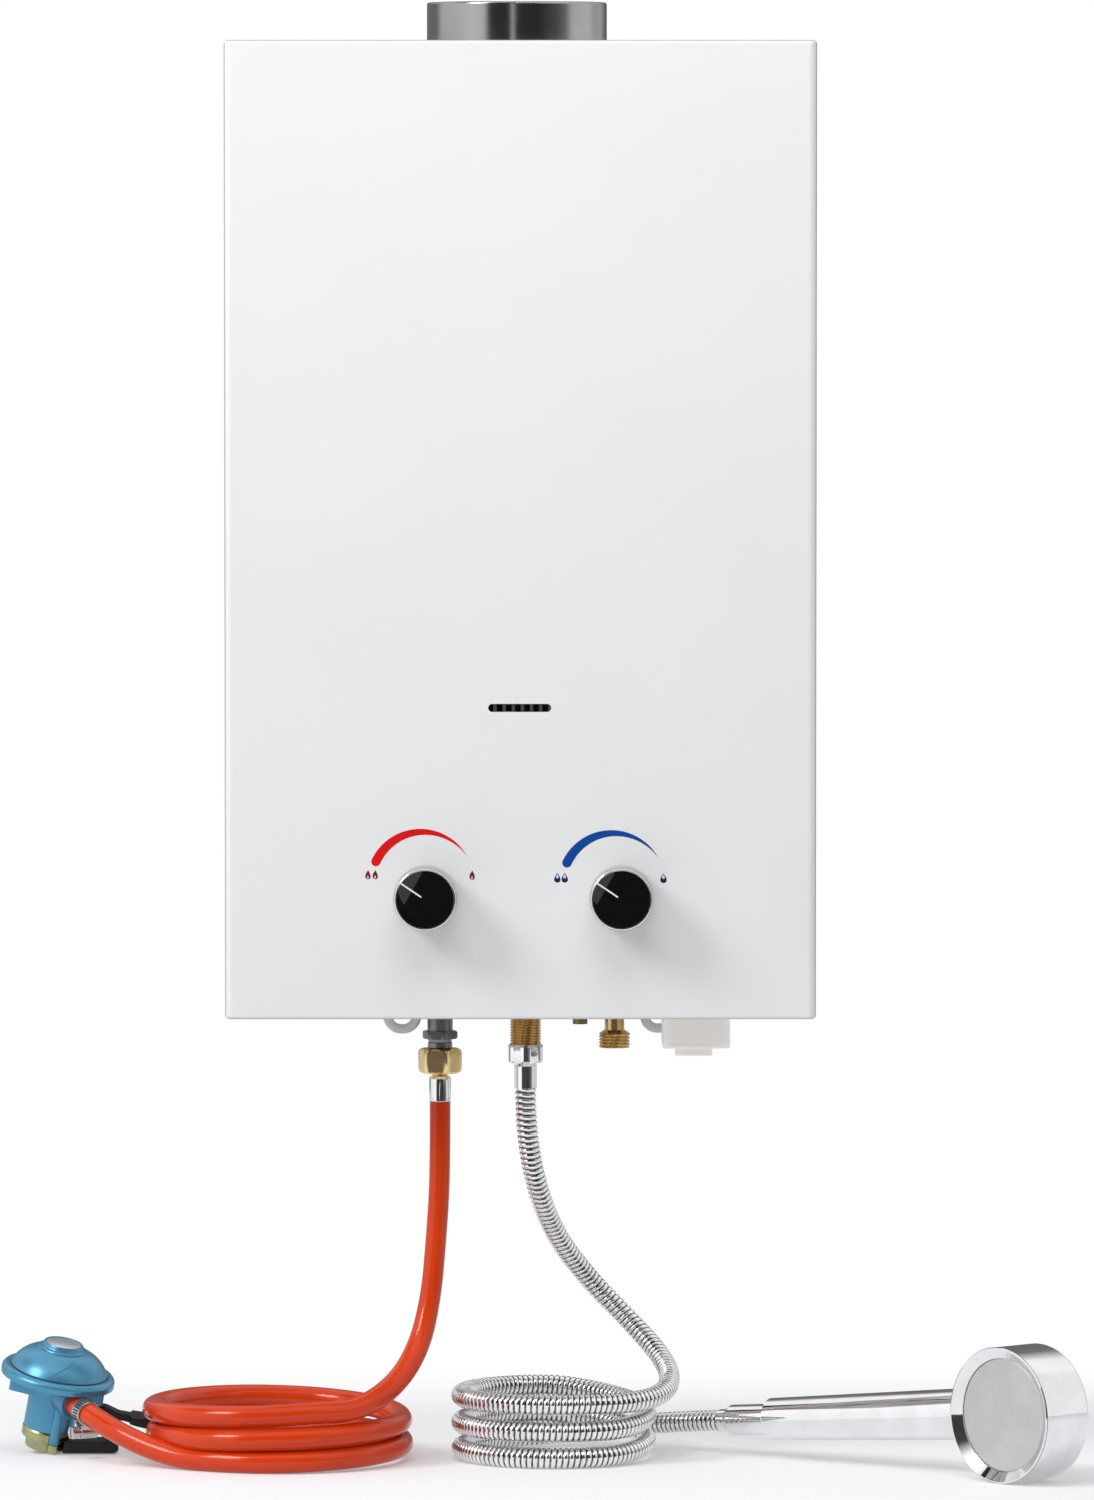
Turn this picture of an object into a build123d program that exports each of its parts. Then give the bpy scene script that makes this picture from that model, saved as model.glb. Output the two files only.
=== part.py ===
from build123d import *
import os
from math import cos, pi, radians, sin, tan

# Portable propane water heater: a wall-hung casing with its burner, copper heat exchanger and
# valves inside, a gas hose with its bottle regulator, and a shower hose with its hand shower.
# Millimetres. X runs to the right seen from the front, Y into the wall, Z up.
# The origin is the middle of the two upper wall holes, on the wall plane y = 0.

os.makedirs("parts", exist_ok=True)

# ---- driving dimensions -----------------------------------------------------------------
casing_width = 390.0
casing_height = 645.0
casing_depth = 170.0
sheet = 1.0
hole_rise = 14.0
casing_top = -hole_rise
casing_foot = casing_top - casing_height
front_y = -casing_depth
floor_z = -962.0

wall_hole_radius = 3.5
upper_hole_spacing = 60.0
lower_hole_spacing = 120.0
lower_hole_drop = 6.5

collar_x = -2.5
flue_y = -85.0
collar_radius = 59.8
collar_height = 26.0
flange_screw_radius = collar_radius + 7.0
screw_drops = (60.0, casing_height / 2, casing_height - 60.0)

gas_x = -62.5
water_x = 66.5
knob_z = casing_foot + 81.4
knob_radius = 19.5
knob_length = 35.0

window_z = casing_foot + 205.8
window_width = 41.5
window_height = 5.3

fitting_y = -75.0
gas_fitting_x = -54.0
hot_fitting_x = 3.2
cold_fitting_x = 62.6
drain_x = 39.6
case_x = 116.6
case_width = 45.0
case_depth = 75.0
case_front = -130.0
case_middle = case_front + case_depth / 2
thread_radius = 10.48

gas_hose_diameter = 14.6
shower_hose_diameter = 14.0
gas_coil_centre = (-160.5, -75.0)
gas_coil_radius = 80.5
gas_coil_height = 47.5
shower_coil_centre = (22.0, -66.0)
shower_coil_radius = 61.7
shower_coil_height = 49.5

burner_width = 250.0
burner_depth = 126.0
burner_y = -87.0
burner_top = window_z - 15.0
chamber_height = 172.0
fin_block_height = 56.0

lean_right = 10.6
lean_front = 10.7
rim_radius = 38.5
body_radius = 17.2
coupling_depth = 53.4
nozzle_turn = -60.0
nozzle_drop = 12.5

head_radius = 45.0
head_length = 40.0
head_yaw = 47.5
handle_yaw = 36.0
handle_dip = 5.1
handle_setback = 9.0
handle_reach = 207.0


def finish(builder, name):
    """Label one finished piece and write its file."""
    builder.part.label = name
    export_step(builder.part, f"parts/{name}.step")


def bend_radii(name, points):
    """As large an arc at each corner of a hose as its two runs allow."""
    corners = [Vector(*p) for p in points]
    runs = [b - a for a, b in zip(corners, corners[1:])]
    radii = []
    for before, after in zip(runs, runs[1:]):
        half_turn = radians(before.get_angle(after)) / 2
        radii.append(0.45 * min(before.length, after.length) / tan(half_turn))
    print(name, "bend radii", [round(r) for r in radii])
    return radii


def around(centre, radius, angle, height):
    """The point of an upright ring at an angle from +X, at a height above the floor."""
    return (
        centre[0] + radius * cos(radians(angle)),
        centre[1] + radius * sin(radians(angle)),
        floor_z + height,
    )


# ---- casing -----------------------------------------------------------------------------
# Front cover: one deep-drawn sheet with rounded front edges, open at the back, with lips
# round the openings of its top and foot.
cover_back = -4.0
side_edge_radius = 5.0
end_edge_radius = 2.5
lip = 12.0
with BuildPart() as front_cover:
    for inset, form_mode in ((0.0, Mode.ADD), (sheet, Mode.SUBTRACT)):
        with BuildPart(mode=form_mode) as drawn_form:
            with BuildSketch(Plane.XY.offset(casing_foot + inset)):
                with Locations((0, (front_y + cover_back + inset) / 2)):
                    Rectangle(casing_width - 2 * inset, cover_back - front_y - inset)
            extrude(amount=casing_height - 2 * inset)
            long_edges = drawn_form.edges().filter_by(Axis.Z).group_by(Axis.Y)[0]
            fillet(long_edges, side_edge_radius - inset)
            end_edges = drawn_form.faces().sort_by(Axis.Y)[0].edges().filter_by(Axis.X)
            fillet(end_edges, end_edge_radius - inset)
    with BuildSketch(Plane.XY.offset(casing_foot - 1)):
        with Locations((0, front_y + 20 + casing_depth / 2)):
            Rectangle(casing_width - 2 * lip, casing_depth)
    extrude(amount=casing_height + 2, mode=Mode.SUBTRACT)
    with BuildSketch(Plane.XZ.offset(-front_y)):
        with Locations((gas_x, knob_z), (water_x, knob_z)):
            Circle(13.0)
        with Locations((-0.5, window_z)):
            SlotOverall(window_width, window_height)
    extrude(amount=-4, mode=Mode.SUBTRACT)
    with BuildSketch(Plane.YZ):
        with Locations([(-12, casing_top - drop) for drop in screw_drops]):
            Circle(2.3)
    extrude(amount=casing_width, both=True, mode=Mode.SUBTRACT)
finish(front_cover, "front_cover")

# Back pan: back plate with wall ears, narrow side flanges, top plate and foot plate. The
# foot plate carries the fittings and has slots for the burner's air.
pan_gap = 0.6
pan_half = casing_width / 2 - sheet - pan_gap
pan_top = casing_top - sheet - pan_gap
pan_foot = casing_foot + sheet + pan_gap
pan_depth = 160.0
with BuildPart() as back_pan:
    with BuildSketch(Plane.XY.offset(pan_foot)):
        with Locations((0, -pan_depth / 2)):
            Rectangle(2 * pan_half, pan_depth)
    extrude(amount=pan_top - pan_foot)
    offset(amount=-sheet, openings=back_pan.faces().sort_by(Axis.Y)[0])
    with BuildSketch(Plane.YZ):
        with Locations((-24 - pan_depth / 2, (pan_top + pan_foot) / 2)):
            Rectangle(pan_depth, pan_top - pan_foot - 2 * sheet - 0.2)
    extrude(amount=casing_width, both=True, mode=Mode.SUBTRACT)
    with BuildSketch(Plane.XZ):
        with Locations((0, pan_top)):
            Rectangle(104, 2 * (casing_top + 24 - pan_top))
        with Locations((0, pan_foot)):
            Rectangle(150, 2 * (pan_foot - casing_foot + 12))
    extrude(amount=sheet)
    with BuildSketch(Plane.XZ.offset(sheet)):
        with Locations((-120, -330), (120, -330)):
            SlotOverall(420, 26, rotation=90)
    extrude(amount=3)
    with BuildSketch(Plane.XZ.offset(-0.5)):
        with Locations((-120, -330), (120, -330)):
            SlotOverall(418, 24, rotation=90)
    extrude(amount=3.5, mode=Mode.SUBTRACT)
    with BuildSketch(Plane.XZ.offset(-1)):
        with GridLocations(upper_hole_spacing, 1, 2, 1):
            Circle(wall_hole_radius)
        with Locations((0, casing_foot - lower_hole_drop)):
            with GridLocations(lower_hole_spacing, 1, 2, 1):
                Circle(wall_hole_radius)
    extrude(amount=3, mode=Mode.SUBTRACT)
    with BuildSketch(Plane.XY.offset(pan_top - 3)):
        with Locations((collar_x, flue_y)):
            Circle(collar_radius + 1.2)
            with PolarLocations(flange_screw_radius, 4, 45):
                Circle(2.0)
    extrude(amount=5, mode=Mode.SUBTRACT)
    with BuildSketch(Plane.XY.offset(pan_foot - 1)):
        with Locations((gas_fitting_x, fitting_y), (hot_fitting_x, fitting_y), (cold_fitting_x, fitting_y)):
            Circle(12.5)
        with Locations((drain_x, fitting_y)):
            Circle(6.5)
        with Locations((case_x, case_middle)):
            Rectangle(case_width + 0.8, case_depth + 0.8)
        with Locations((-89, fitting_y), (-69.6, fitting_y), (83, fitting_y)):
            Circle(3.6)
        with Locations((0, -132)):
            with GridLocations(16, 1, 11, 1):
                SlotOverall(36, 6, rotation=90)
        with Locations((-150, -80)):
            with GridLocations(16, 1, 4, 1):
                SlotOverall(100, 6, rotation=90)
    extrude(amount=4, mode=Mode.SUBTRACT)
    with BuildSketch(Plane.YZ):
        with Locations([(-12, casing_top - drop) for drop in screw_drops]):
            Circle(2.0)
    extrude(amount=casing_width, both=True, mode=Mode.SUBTRACT)
finish(back_pan, "back_pan")

# Flue collar: drawn steel ring with its top edge rolled inwards and its flange under the
# top plate.
collar_foot = pan_top - sheet - 0.05
collar_top = casing_top + collar_height
roll = 1.6
with BuildPart() as flue_collar:
    with BuildSketch(Plane.XZ.offset(-flue_y)):
        with BuildLine():
            Polyline(
                (collar_x + collar_radius - 1, collar_foot - 1),
                (collar_x + collar_radius + 13, collar_foot - 1),
                (collar_x + collar_radius + 13, collar_foot),
                (collar_x + collar_radius, collar_foot),
                (collar_x + collar_radius, collar_top - roll),
                (collar_x + collar_radius - 1, collar_top - roll),
                close=True,
            )
        make_face()
        with Locations((collar_x + collar_radius - roll, collar_top - roll)):
            Circle(roll)
    revolve(axis=Axis((collar_x, flue_y, 0), (0, 0, 1)))
    with BuildSketch(Plane.XY.offset(collar_foot - 2)):
        with Locations((collar_x, flue_y)):
            with PolarLocations(flange_screw_radius, 4, 45):
                Circle(2.0)
    extrude(amount=3, mode=Mode.SUBTRACT)
finish(flue_collar, "flue_collar")

# Ten like pan-head screws: six through the cover into the side flanges, four through the top
# plate into the collar's flange.
screw_planes = []
for side in (-1, 1):
    for drop in screw_drops:
        seat = (side * (casing_width / 2 + 0.02), -12, casing_top - drop)
        screw_planes.append(Plane(origin=seat, x_dir=(0, 1, 0), z_dir=(side, 0, 0)))
for turn in (45, 135, 225, 315):
    seat_x = collar_x + flange_screw_radius * cos(radians(turn))
    seat_y = flue_y + flange_screw_radius * sin(radians(turn))
    screw_planes.append(Plane(origin=(seat_x, seat_y, pan_top + 0.02)))
with BuildPart() as casing_screws:
    for seat_plane in screw_planes:
        with BuildSketch(seat_plane):
            Circle(3.8)
        extrude(amount=1.3, taper=20)
        with BuildSketch(seat_plane):
            Circle(1.8)
        extrude(amount=-8)
finish(casing_screws, "casing_screws")

# ---- burner and heat exchanger ------------------------------------------------------------
chamber_foot = burner_top + 2.0
chamber_top = chamber_foot + chamber_height
fins_top = chamber_top + fin_block_height

# Fume hood: galvanised sheet from the exchanger's rectangle to the round flue.
hood_top = collar_foot - 1.4
with BuildPart() as fume_hood:
    for wall in (0.0, sheet):
        with BuildSketch(Plane.XY.offset(fins_top + 0.3)):
            with Locations((0, burner_y)):
                RectangleRounded(burner_width - 2 * wall, burner_depth - 2 * wall, 12)
        with BuildSketch(Plane.XY.offset(hood_top)):
            with Locations((collar_x, flue_y)):
                Circle(collar_radius - 4 - wall)
        loft(mode=Mode.ADD if wall == 0 else Mode.SUBTRACT)
finish(fume_hood, "fume_hood")

# Heat exchanger: copper frame with a pack of fins that the water tube passes through.
fin_count = 16
fin_pitch = (burner_width - 20) / (fin_count - 1)
tube_radius = 7.0
tube_wall = 0.8
tube_rows = [burner_y + 20 * (row - 2) for row in range(5)]
tube_z = chamber_top + fin_block_height / 2
with BuildPart() as heat_exchanger:
    with BuildSketch(Plane.XY.offset(chamber_top + 0.2)):
        with Locations((0, burner_y)):
            Rectangle(burner_width, burner_depth)
            Rectangle(burner_width - 2, burner_depth - 2, mode=Mode.SUBTRACT)
            with GridLocations(fin_pitch, 1, fin_count, 1):
                Rectangle(0.8, burner_depth - 1)
    extrude(amount=fin_block_height - 0.2)
    with BuildSketch(Plane.YZ):
        with Locations([(y, tube_z) for y in tube_rows]):
            Circle(tube_radius + 0.05)
    extrude(amount=burner_width, both=True, mode=Mode.SUBTRACT)
finish(heat_exchanger, "heat_exchanger")

# Combustion chamber: copper box open at the top and foot, with flared foot edge.
electrode_x = 34.0
electrode_z = chamber_foot + 9.0
with BuildPart() as combustion_chamber:
    with BuildSketch(Plane.XY.offset(chamber_foot)):
        with Locations((0, burner_y)):
            RectangleRounded(burner_width, burner_depth, 12)
            RectangleRounded(burner_width - 2, burner_depth - 2, 11, mode=Mode.SUBTRACT)
    extrude(amount=chamber_height)
    with BuildSketch(Plane.XZ.offset(-burner_y)):
        with Locations((-0.5, window_z)):
            SlotOverall(48, 12)
        with Locations((electrode_x, electrode_z), (-electrode_x, electrode_z)):
            Circle(3.4)
    extrude(amount=burner_depth, mode=Mode.SUBTRACT)
finish(combustion_chamber, "combustion_chamber")

# Cold water coil wound round the chamber before it enters the exchanger.
coil_half_x = burner_width / 2 + 8.5
coil_half_y = burner_depth / 2 + 8.5
coil_corners = [(1, -1), (-1, -1), (-1, 1), (1, 1)]
coil_rise = 11.0
coil_start = chamber_foot + 44
coil_points = [(coil_half_x, burner_y + coil_half_y - 30, coil_start - coil_rise)]
for step in range(8):
    across, along = coil_corners[step % 4]
    coil_points.append(
        (across * coil_half_x, burner_y + along * coil_half_y, coil_start + step * coil_rise)
    )
coil_end = (coil_half_x, burner_y + 20, coil_start + 8 * coil_rise)
coil_points.append(coil_end)
with BuildPart() as chamber_coil:
    with BuildLine() as chamber_path:
        FilletPolyline(*coil_points, radius=18)
    with BuildSketch(Plane(origin=chamber_path.line @ 0, z_dir=chamber_path.line % 0)):
        Circle(tube_radius)
        Circle(tube_radius - tube_wall, mode=Mode.SUBTRACT)
    sweep()
finish(chamber_coil, "chamber_coil")

# Water tube of the exchanger: a riser from the chamber coil and five passes through the fins,
# joined by bends outside the frame.
pass_end = burner_width / 2 + 14
riser_x = pass_end + 11
tube_points = [
    coil_end,
    (coil_half_x, coil_end[1] - 28, coil_end[2] + 6),
    (riser_x, tube_rows[0], coil_end[2] + 38),
    (riser_x, tube_rows[0], tube_z),
]
for row, row_y in enumerate(tube_rows):
    side = -1 if row % 2 == 0 else 1
    if row > 0:
        tube_points.append((-side * pass_end, row_y, tube_z))
    tube_points.append((side * pass_end, row_y, tube_z))
with BuildPart() as exchanger_tube:
    with BuildLine() as tube_path:
        FilletPolyline(*tube_points, radius=9.8)
    with BuildSketch(Plane(origin=tube_path.line @ 0, z_dir=tube_path.line % 0)):
        Circle(tube_radius)
        Circle(tube_radius - tube_wall, mode=Mode.SUBTRACT)
    sweep()
finish(exchanger_tube, "exchanger_tube")

# Burner tray: steel pan under the chamber, with air slots between the bars and a hole in
# front of each bar for its jet.
tray_foot = burner_top - 62
bar_pitch = 26.0
bar_count = 9
with BuildPart() as burner_tray:
    with BuildSketch(Plane.XY.offset(tray_foot)):
        with Locations((0, burner_y)):
            Rectangle(burner_width, burner_depth)
    extrude(amount=burner_top - tray_foot)
    offset(amount=-sheet, openings=burner_tray.faces().sort_by(Axis.Z)[-1])
    with BuildSketch(Plane.XY.offset(tray_foot - 1)):
        with Locations((0, burner_y)):
            with GridLocations(bar_pitch, 1, bar_count - 1, 1):
                SlotOverall(84, 7, rotation=90)
    extrude(amount=3, mode=Mode.SUBTRACT)
    with BuildSketch(Plane.XZ.offset(-burner_y)):
        with Locations((0, tray_foot + 14)):
            with GridLocations(bar_pitch, 1, bar_count, 1):
                Circle(6)
    extrude(amount=burner_depth, mode=Mode.SUBTRACT)
finish(burner_tray, "burner_tray")

# Nine burner bars of pressed steel, wide at the port strip and narrow at the waist. Each is
# hollow, stands on the tray between its front and rear walls, and has a throat at its front
# end for the jet and a row of ports along its top.
bar_wall = 0.8
bar_top = burner_top - 1
bar_foot = tray_foot + sheet + 0.05
bar_reach = burner_depth / 2 - sheet - 0.05
bar_places = [(number - (bar_count - 1) / 2) * bar_pitch for number in range(bar_count)]


def bar_outline(x, wall):
    """Outline of a bar's section, or of its hollow when a wall is given."""
    halves = [
        (7.0, bar_top - wall),
        (8.5, bar_top - 5),
        (3.0, bar_top - 25),
        (6.0, tray_foot + 14),
        (3.5, bar_foot + wall),
    ]
    right = [(x + half - wall, height) for half, height in halves]
    left = [(x - half + wall, height) for half, height in reversed(halves)]
    return right + left


with BuildPart() as burner_bars:
    for bar_x in bar_places:
        for wall, form_mode in ((0.0, Mode.ADD), (bar_wall, Mode.SUBTRACT)):
            with BuildSketch(Plane.XZ.offset(-burner_y)):
                with BuildLine():
                    Polyline(*bar_outline(bar_x, wall), close=True)
                make_face()
            extrude(amount=bar_reach - wall, both=True, mode=form_mode)
    with BuildSketch(Plane.XZ.offset(-burner_y + bar_reach + 1)):
        with Locations([(bar_x, tray_foot + 14) for bar_x in bar_places]):
            Circle(4.2)
    extrude(amount=-3, mode=Mode.SUBTRACT)
    with BuildSketch(Plane.XY.offset(bar_top + 1)):
        with Locations((0, burner_y)):
            with GridLocations(bar_pitch, 8.0, bar_count, 14):
                Rectangle(9.0, 1.6)
    extrude(amount=-3, mode=Mode.SUBTRACT)
finish(burner_bars, "burner_bars")

# Window grille: slotted steel strip behind the sight slot.
grille_pitch = 6.0
with BuildPart() as window_grille:
    with BuildSketch(Plane.XZ.offset(-front_y - sheet - 0.1)):
        with Locations((-0.5, window_z)):
            RectangleRounded(60, 16, 2)
            with Locations((-1.2, 0)):
                with GridLocations(grille_pitch, 1, 7, 1):
                    SlotOverall(11, grille_pitch - 2.2, rotation=90, mode=Mode.SUBTRACT)
    extrude(amount=-sheet)
finish(window_grille, "window_grille")

# Gas manifold: square bar in front of the tray with one jet for each bar, fed from the
# gas valve below.
manifold_y = burner_y - burner_depth / 2 - 9
manifold_z = tray_foot + 14
block_top = tray_foot - 16
with BuildPart() as gas_manifold:
    with BuildSketch(Plane.YZ.offset(-burner_width / 2)):
        with Locations((manifold_y, manifold_z)):
            RectangleRounded(11, 13, 1.5)
    extrude(amount=burner_width)
    with BuildSketch(Plane.XZ.offset(-manifold_y - 5)):
        with Locations((0, manifold_z)):
            with GridLocations(bar_pitch, 1, bar_count, 1):
                Circle(3.0)
    extrude(amount=-5.5)
finish(gas_manifold, "gas_manifold")

# ---- valves ---------------------------------------------------------------------------------
# Gas valve: die-cast block over the gas inlet, with a round solenoid on its left side, the
# spindle's neck at the front and the push-rod's neck at the right.
valve_y = -92.0
block_front = valve_y - 34
block_foot = casing_foot + 20
rod_z = knob_z - 26
with BuildPart() as gas_valve:
    with BuildSketch(Plane.XY.offset(block_foot)):
        with Locations((gas_x + 2, valve_y)):
            RectangleRounded(62, 68, 8)
    extrude(amount=block_top - block_foot)
    chamfer(gas_valve.faces().sort_by(Axis.Z)[-1].edges(), 3)
    with BuildSketch(Plane.XY.offset(block_top - 18)):
        with Locations((gas_x + 2, (manifold_y + valve_y - 20) / 2)):
            RectangleRounded(16, valve_y - 8 - manifold_y, 5)
    extrude(amount=14)
    with BuildSketch(Plane.XY.offset(block_top - 6)):
        with Locations((gas_x + 2, manifold_y + 1)):
            Circle(5.0)
    extrude(amount=manifold_z - 6.5 - block_top + 6)
    with BuildSketch(Plane.YZ.offset(gas_x - 28)):
        with Locations((valve_y, knob_z)):
            Circle(16)
    extrude(amount=-36)
    with BuildSketch(Plane.XZ.offset(-block_front - 1)):
        with Locations((gas_x, knob_z)):
            Circle(11)
    extrude(amount=13)
    with BuildSketch(Plane.YZ.offset(gas_x + 32)):
        with Locations((valve_y, rod_z)):
            Circle(9)
    extrude(amount=9)
    with BuildSketch(Plane.YZ.offset(gas_x + 42)):
        with Locations((valve_y, rod_z)):
            Circle(3.05)
    extrude(amount=-24, mode=Mode.SUBTRACT)
    with BuildSketch(Plane.XZ.offset(-block_front + 13)):
        with Locations((gas_x, knob_z)):
            Circle(4.05)
    extrude(amount=-30, mode=Mode.SUBTRACT)
finish(gas_valve, "gas_valve")

# Water valve: brass body over the cold inlet with its round diaphragm housing on the left.
housing_right = water_x - 18
housing_left = housing_right - 26
with BuildPart() as water_valve:
    with BuildSketch(Plane.XY.offset(block_foot)):
        with Locations((water_x - 2, valve_y)):
            RectangleRounded(40, 52, 10)
    extrude(amount=block_top - 14 - block_foot)
    fillet(water_valve.faces().sort_by(Axis.Z)[-1].edges(), 3)
    with BuildSketch(Plane.YZ.offset(housing_left)):
        with Locations((valve_y, rod_z)):
            Circle(31)
    extrude(amount=26)
    with BuildSketch(Plane.YZ.offset(housing_left + 10)):
        with Locations((valve_y, rod_z)):
            with PolarLocations(31, 6, 30):
                Circle(5)
    extrude(amount=8)
    with BuildSketch(Plane.YZ.offset(housing_left)):
        with Locations((valve_y, rod_z)):
            Circle(9)
    extrude(amount=-5)
    with BuildSketch(Plane.XZ.offset(-valve_y + 25)):
        with Locations((water_x, knob_z)):
            Circle(11)
    extrude(amount=22)
    with BuildSketch(Plane.YZ.offset(housing_left - 6)):
        with Locations((valve_y, rod_z)):
            Circle(3.05)
    extrude(amount=22, mode=Mode.SUBTRACT)
    with BuildSketch(Plane.XZ.offset(-valve_y + 48)):
        with Locations((water_x, knob_z)):
            Circle(4.05)
    extrude(amount=-30, mode=Mode.SUBTRACT)
finish(water_valve, "water_valve")

# Push-rod: opens the gas when water moves the diaphragm.
rod_travel = 4.0
rod_start = gas_x + 42 - 24 + rod_travel + 1
rod_end = housing_left + 16 - 1
with BuildPart() as push_rod:
    with BuildSketch(Plane.YZ.offset(rod_start)):
        with Locations((valve_y, rod_z)):
            Circle(3.0)
    extrude(amount=rod_end - rod_start)
    with BuildSketch(Plane.YZ.offset(-14.0)):
        with Locations((valve_y, rod_z)):
            Circle(5.5)
    extrude(amount=3)
finish(push_rod, "push_rod")

# Igniter box: moulded pulse unit on the back plate, with its terminal ridge.
with BuildPart() as igniter_box:
    with BuildSketch(Plane.XZ.offset(4.2)):
        with Locations((-120, -588)):
            RectangleRounded(66, 84, 5)
    extrude(amount=26)
    fillet(igniter_box.faces().sort_by(Axis.Y)[0].edges(), 3)
    with BuildSketch(Plane.XZ.offset(30)):
        with Locations((-120, -606)):
            RectangleRounded(44, 14, 3)
    extrude(amount=7)
finish(igniter_box, "igniter_box")

# Ignition and flame-sensing electrodes: ceramic rods with wire tips, at the front of the bars.
with BuildPart() as electrodes:
    with BuildSketch(Plane.XZ.offset(-front_y - 6)):
        with Locations((electrode_x, electrode_z), (-electrode_x, electrode_z)):
            Circle(3.2)
    extrude(amount=-26)
    with BuildSketch(Plane.XZ.offset(-front_y - 32)):
        with Locations((electrode_x, electrode_z), (-electrode_x, electrode_z)):
            Circle(1.0)
    extrude(amount=-20)
finish(electrodes, "electrodes")

# ---- fittings under the casing --------------------------------------------------------------
# Gas inlet: zinc-plated steel with a hexagon, standing out of the gas valve.
gas_thread_foot = -685.4
with BuildPart() as gas_inlet:
    with BuildSketch(Plane.XY.offset(-673.8)):
        with Locations((gas_fitting_x, fitting_y)):
            Circle(8.5)
    extrude(amount=block_foot + 673.8 - 0.1)
    with BuildSketch(Plane.XY.offset(-679.1)):
        with Locations((gas_fitting_x, fitting_y)):
            RegularPolygon(10.4, 6, major_radius=False, rotation=12)
    extrude(amount=5.3)
    with BuildSketch(Plane.XY.offset(gas_thread_foot)):
        with Locations((gas_fitting_x, fitting_y)):
            Circle(8.2)
    extrude(amount=6.3)
finish(gas_inlet, "gas_inlet")

# Gas union nut: brass hexagon with chamfered corners and a collar at its foot.
union_top = gas_thread_foot - 0.2
union_foot = -702.2
with BuildPart() as gas_union_nut:
    with BuildSketch(Plane.XY.offset(union_foot)):
        with Locations((gas_fitting_x, fitting_y)):
            RegularPolygon(13.0, 6, major_radius=False, rotation=14)
    extrude(amount=union_top - union_foot)
    chamfer(gas_union_nut.edges().group_by(Axis.Z)[-1], 1.0)
    chamfer(gas_union_nut.edges().group_by(Axis.Z)[0], 1.6)
    with BuildSketch(Plane.XY.offset(union_foot - 0.5)):
        with Locations((gas_fitting_x, fitting_y)):
            Circle(5.3)
    extrude(amount=40, mode=Mode.SUBTRACT)
finish(gas_union_nut, "gas_union_nut")

# Hose tail: brass tube through the union nut, with its seat under the inlet.
ferrule_top = -703.9
ferrule_foot = -721.0
with BuildPart() as gas_hose_tail:
    with BuildSketch(Plane.XY.offset(ferrule_top)):
        with Locations((gas_fitting_x, fitting_y)):
            Circle(5.2)
            Circle(3.2, mode=Mode.SUBTRACT)
    extrude(amount=union_top - ferrule_top)
finish(gas_hose_tail, "gas_hose_tail")

# Crimped ferrule that holds the hose on its tail.
with BuildPart() as gas_hose_ferrule:
    with BuildSketch(Plane.XY.offset(ferrule_foot)):
        with Locations((gas_fitting_x, fitting_y)):
            Circle(gas_hose_diameter / 2)
            Circle(3.2, mode=Mode.SUBTRACT)
    extrude(amount=ferrule_top - ferrule_foot)
    fillet(gas_hose_ferrule.edges().group_by(Axis.Z)[-1].sort_by(SortBy.LENGTH)[-1], 1.0)
finish(gas_hose_ferrule, "gas_hose_ferrule")

# Hot outlet: brass threaded stub from the hot pipe through the foot plate.
shower_nut_top = -682.9
with BuildPart() as hot_outlet:
    with BuildSketch(Plane.XY.offset(shower_nut_top)):
        with Locations((hot_fitting_x, fitting_y)):
            Circle(thread_radius)
            Circle(7.0, mode=Mode.SUBTRACT)
    extrude(amount=pan_foot + 8 - shower_nut_top)
    with BuildSketch(Plane.XY.offset(pan_foot + sheet + 0.1)):
        with Locations((hot_fitting_x, fitting_y)):
            RegularPolygon(14.0, 6, major_radius=False)
            Circle(7.0, mode=Mode.SUBTRACT)
    extrude(amount=8)
finish(hot_outlet, "hot_outlet")

# Shower hose nut: chrome-plated hexagon on a round shank.
shower_nut_foot = -695.1
shower_ferrule_foot = -712.0
with BuildPart() as shower_hose_nut:
    with BuildSketch(Plane.XY.offset(shower_nut_foot)):
        with Locations((hot_fitting_x, fitting_y)):
            RegularPolygon(10.9, 6, major_radius=False, rotation=30)
    extrude(amount=shower_nut_top - shower_nut_foot)
    chamfer(shower_hose_nut.edges().group_by(Axis.Z)[-1], 0.8)
    chamfer(shower_hose_nut.edges().group_by(Axis.Z)[0], 0.8)
    with BuildSketch(Plane.XY.offset(shower_nut_foot - 1)):
        with Locations((hot_fitting_x, fitting_y)):
            Circle(5.0)
    extrude(amount=20, mode=Mode.SUBTRACT)
finish(shower_hose_nut, "shower_hose_nut")

# Ferrule of the shower hose, chrome-plated.
with BuildPart() as shower_hose_ferrule:
    with BuildSketch(Plane.XZ.offset(-fitting_y)):
        with BuildLine():
            Polyline(
                (hot_fitting_x + 3.5, shower_ferrule_foot),
                (hot_fitting_x + 7.6, shower_ferrule_foot),
                (hot_fitting_x + 7.6, shower_nut_foot - 2.2),
                (hot_fitting_x + 6.0, shower_nut_foot - 0.1),
                (hot_fitting_x + 4.9, shower_nut_foot - 0.1),
                (hot_fitting_x + 4.9, shower_nut_foot + 9),
                (hot_fitting_x + 3.5, shower_nut_foot + 9),
                close=True,
            )
        make_face()
    revolve(axis=Axis((hot_fitting_x, fitting_y, 0), (0, 0, 1)))
finish(shower_hose_ferrule, "shower_hose_ferrule")

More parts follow.
